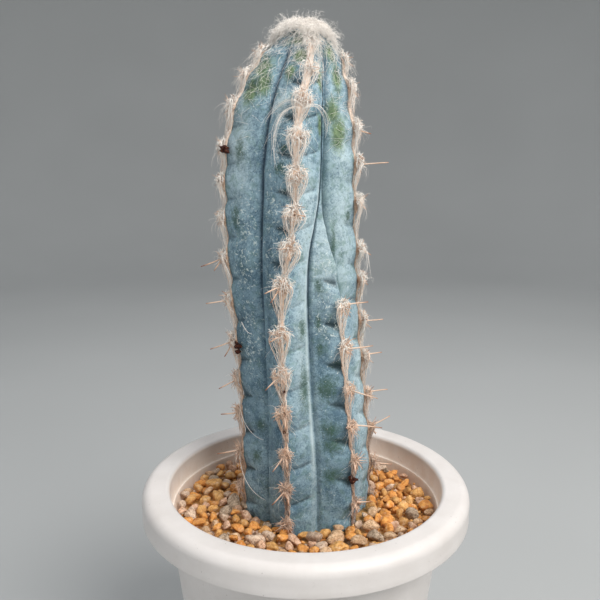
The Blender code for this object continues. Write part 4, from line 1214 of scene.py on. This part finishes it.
def crown_core(bundle):
    """The matted cap under the crown's hairs."""
    turn = np.linspace(0, 2 * math.pi, CROWN_SIDES, endpoint=False)
    shares = (np.arange(CROWN_LEVELS) + 0.5) / CROWN_LEVELS
    points = np.concatenate([cap(turn, hem(turn) * share, 0.0) for share in shares])
    middle_x = float(along(STEM_BOW, CROWN_BOW_AT))
    middle = np.array([middle_x, STEM_BACK, POT_HEIGHT + 0.188])
    points = points + unit(points - middle) * (0.0007 * lumps(points, 0.0022, 3))[:, None]
    heights = (CROWN_TOP - CROWN_MAT, STEM_TOP + 0.0004)
    ends = [[middle_x, STEM_BACK, POT_HEIGHT + height] for height in heights]
    top = len(points)
    faces = quads(CROWN_LEVELS, CROWN_SIDES, flip=True) + fan(top, 0, CROWN_SIDES)
    faces += fan(top + 1, top - CROWN_SIDES, CROWN_SIDES, flip=True)
    bundle.put(np.concatenate([points, ends]), faces, tone=0.62, white=0.9)


def make_crown(rng):
    """The felt over the growing tip: a matted cap under hairs combed outwards, and long wisps."""
    u = rng.uniform
    bundle = Bundle()
    crown_core(bundle)

    # Hairs combed outwards
    n = 2000
    around = u(0, 2 * math.pi, n)
    limit = hem(around)
    start = u(0.0, 1.0, n) ** 0.7 * limit * 0.95
    end = np.minimum(start + u(0.20, 0.55, n), limit * u(0.92, 1.25, n))
    drift = rng.normal(0, 0.50, n)
    controls = (
        cap(around, start, -0.0003 * np.ones(n)),
        cap(around + drift * 0.3, start + (end - start) * 0.35, u(0.0002, 0.0020, n)),
        cap(around + drift * 0.5, start + (end - start) * 0.7, u(0.0002, 0.0024, n)),
        cap(around + drift * 0.7, end, u(-0.0001, 0.0018, n)),
    )
    paths = strands(controls, 6, 0.00070, rng, 2.0)
    bundle.hairs(paths, STRAND_RADIUS * u(0.55, 1.1, n), u(0.60, 1.30, n), 1.0)

    # Hairs that spread from the ribs' last areoles
    n = 620
    corner = np.radians(rng.choice(CROWN_CORNERS, n)) + rng.normal(0, 0.16, n)
    start = u(0.70, 1.15, n)
    root = cap(corner, start, -0.0003 * np.ones(n))
    away = np.column_stack([np.sin(corner), -np.cos(corner), u(-0.9, 0.9, n)])
    away = unit(away + rng.normal(0, 0.35, (n, 3))) * u(0.0022, 0.0050, n)[:, None]
    droop = np.column_stack([np.zeros(n), np.zeros(n), -u(0.0005, 0.0032, n)])
    controls = (root, root + away * 0.5, root + away * 0.9 + droop * 0.3, root + away + droop)
    paths = strands(controls, 6, 0.00050, rng)
    bundle.hairs(paths, STRAND_RADIUS * u(0.6, 1.2, n), u(0.55, 1.05, n), 0.95)

    # Long wisps
    n = 260
    around, start = u(0, 2 * math.pi, n), u(0.15, 1.15, n)
    root = cap(around, start * hem(around), np.zeros(n))
    away = np.column_stack([np.sin(around) * start, -np.cos(around) * start, 0.6 - 0.60 * start])
    away = unit(away + rng.normal(0, 0.60, (n, 3))) * u(0.0020, 0.0052, n)[:, None]
    bow = rng.normal(0, 0.0026, (n, 3))
    controls = (root, root + away * 0.4 + bow * 0.4, root + away * 0.75 + bow, root + away)
    paths = strands(controls, 9, 0.0014, rng, 2.2)
    bundle.hairs(paths, STRAND_RADIUS * 0.55, u(0.8, 1.0, n), 1.0)
    felt = wool_material("crown_felt", srgb(196, 180, 168), srgb(236, 229, 221), srgb(254, 251, 248))
    bundle.piece("crown_felt", felt, "felt", "crown_wool")


def make_top_fuzz(rng):
    """Fine hairs that lie criss-cross on the young skin below the crown."""
    u = rng.uniform
    bundle = Bundle()
    for rib in TIP_RIBS:
        for n, lowest, rise, thickness in ((170, 0.152, 0.040, 0.5), (125, 0.178, 0.018, 0.8)):
            across = u(-0.9, 0.9, n)
            height = lowest + rise * u(0, 1, n) ** 0.6
            turn = u(0, 2 * math.pi, n)
            length = u(0.0030, 0.0075, n)
            aside = np.cos(turn) * length / 0.012
            climb = np.sin(turn) * length - 0.0010
            lifts = (np.full(n, 0.0001), u(0.0004, 0.0014, n), u(0.0004, 0.0018, n), u(0.0001, 0.0012, n))
            controls = []
            for k, lift in enumerate(lifts):
                aslant = np.clip(across + aside * k / 3, -0.97, 0.97)
                controls.append(skin(rib, aslant, np.minimum(height + climb * k / 3, 0.1975), lift))
            paths = strands(controls, 8, 0.0006, rng)
            bundle.hairs(paths, STRAND_RADIUS * thickness, u(0.8, 1.0, n), 1.0)
    bundle.piece("top_fuzz", bpy.data.materials["areole_wool"], "wool")


def make_debris(rng):
    """Dried bud scraps caught in the wool, and a few long old hairs that lie on the skin."""
    directions, triangles = ball(2)
    bundle = Bundle()
    for rib, height, side, out, radius in HUSKS:
        centre = on_crest(rib, np.array([height]), np.array([side]), np.array([out]))[0]
        for _ in range(7):
            points = stone_shape(directions, radius * rng.uniform(0.35, 0.62), rng, 0.25)
            bundle.put(points + centre + rng.normal(0, 0.34 * radius, 3), triangles)
    bundle.piece("dried_buds", husk_material(), "wool")

    bundle = Bundle()
    for rib, count, radius, points in OLD_HAIRS:
        spread = np.array([0.0002, 0.0006, 0.0010, 0.0016]) * (count > 1)
        controls = np.array([[skin(rib, np.array(a), np.array(h), lift) for a, h, lift in points]])
        controls = controls + rng.normal(size=(count, 4, 3)) * spread[None, :, None]
        tones = rng.uniform(0.75, 1.0, count)
        bundle.hairs(bezier(controls, 16), radius, tones, 0.6, sides=4, taper=0.6)
    bundle.piece("old_hairs", bpy.data.materials["areole_wool"], "wool")


# The studio


def softbox(name, place, size, power, colour):
    """A round lamp that looks at the plant's middle."""
    light = bpy.data.lights.new(name, "AREA")
    light.shape = "DISK"
    light.size = size
    light.energy = power
    light.color = colour
    obj = bpy.data.objects.new(name, light)
    obj.location = place
    obj.rotation_euler = (Vector((0, 0, 0.2)) - Vector(place)).to_track_quat("-Z", "Y").to_euler()
    bpy.context.scene.collection.objects.link(obj)


def make_studio():
    turn = np.linspace(0, 2 * math.pi, STUDIO_SEGMENTS, endpoint=False)
    profile = [(0.02, 0.0), (0.6, 0.0), (1.3, 0.0)] + arc(1.3, 0.7, 0.7, 270, 360, 10)[1:] + [(2.0, 2.4)]
    verts = [(r * math.sin(t), -r * math.cos(t), z) for r, z in profile for t in turn]
    faces = quads(len(profile), STUDIO_SEGMENTS) + [tuple(range(STUDIO_SEGMENTS - 1, -1, -1))]
    floor = add_piece("studio_floor", verts, faces, paper_material())
    softbox("key", (0.62, -0.62, 1.05), 0.9, 18.0, (1.0, 0.98, 0.95))
    softbox("fill", (-0.95, -0.75, 0.55), 1.0, 3.4, (0.96, 0.98, 1.0))
    softbox("top", (0.0, 0.35, 1.45), 0.9, 6.0, (1.0, 1.0, 1.0))
    world = bpy.data.worlds.new("studio_air")
    world.use_nodes = True
    background = world.node_tree.nodes["Background"]
    background.inputs["Color"].default_value = (0.90, 0.94, 1.0, 1.0)
    background.inputs["Strength"].default_value = 0.40
    bpy.context.scene.world = world
    bpy.context.scene.view_settings.view_transform = "Standard"


def make_camera():
    data = bpy.data.cameras.new("camera")
    data.sensor_width = 36.0
    data.lens = 42.0
    data.clip_start = 0.01
    camera = bpy.data.objects.new("camera", data)
    tilt = Matrix.Rotation(math.radians(90 - 11.67), 4, "X") @ Matrix.Rotation(math.radians(0.15), 4, "Z")
    camera.matrix_world = Matrix.Translation((-0.0028, -0.3043, 0.2723)) @ tilt
    bpy.context.scene.collection.objects.link(camera)
    bpy.context.scene.camera = camera


make_pot()
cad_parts["soil"].data.materials.clear()
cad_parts["soil"].data.materials.append(soil_material())
make_stem()
make_grit_bed()
make_stones(np.random.default_rng(SEED))
make_areoles(np.random.default_rng(SEED + 1))
make_crown(np.random.default_rng(SEED + 2))
make_top_fuzz(np.random.default_rng(SEED + 4))
make_debris(np.random.default_rng(SEED + 3))
make_studio()
make_camera()
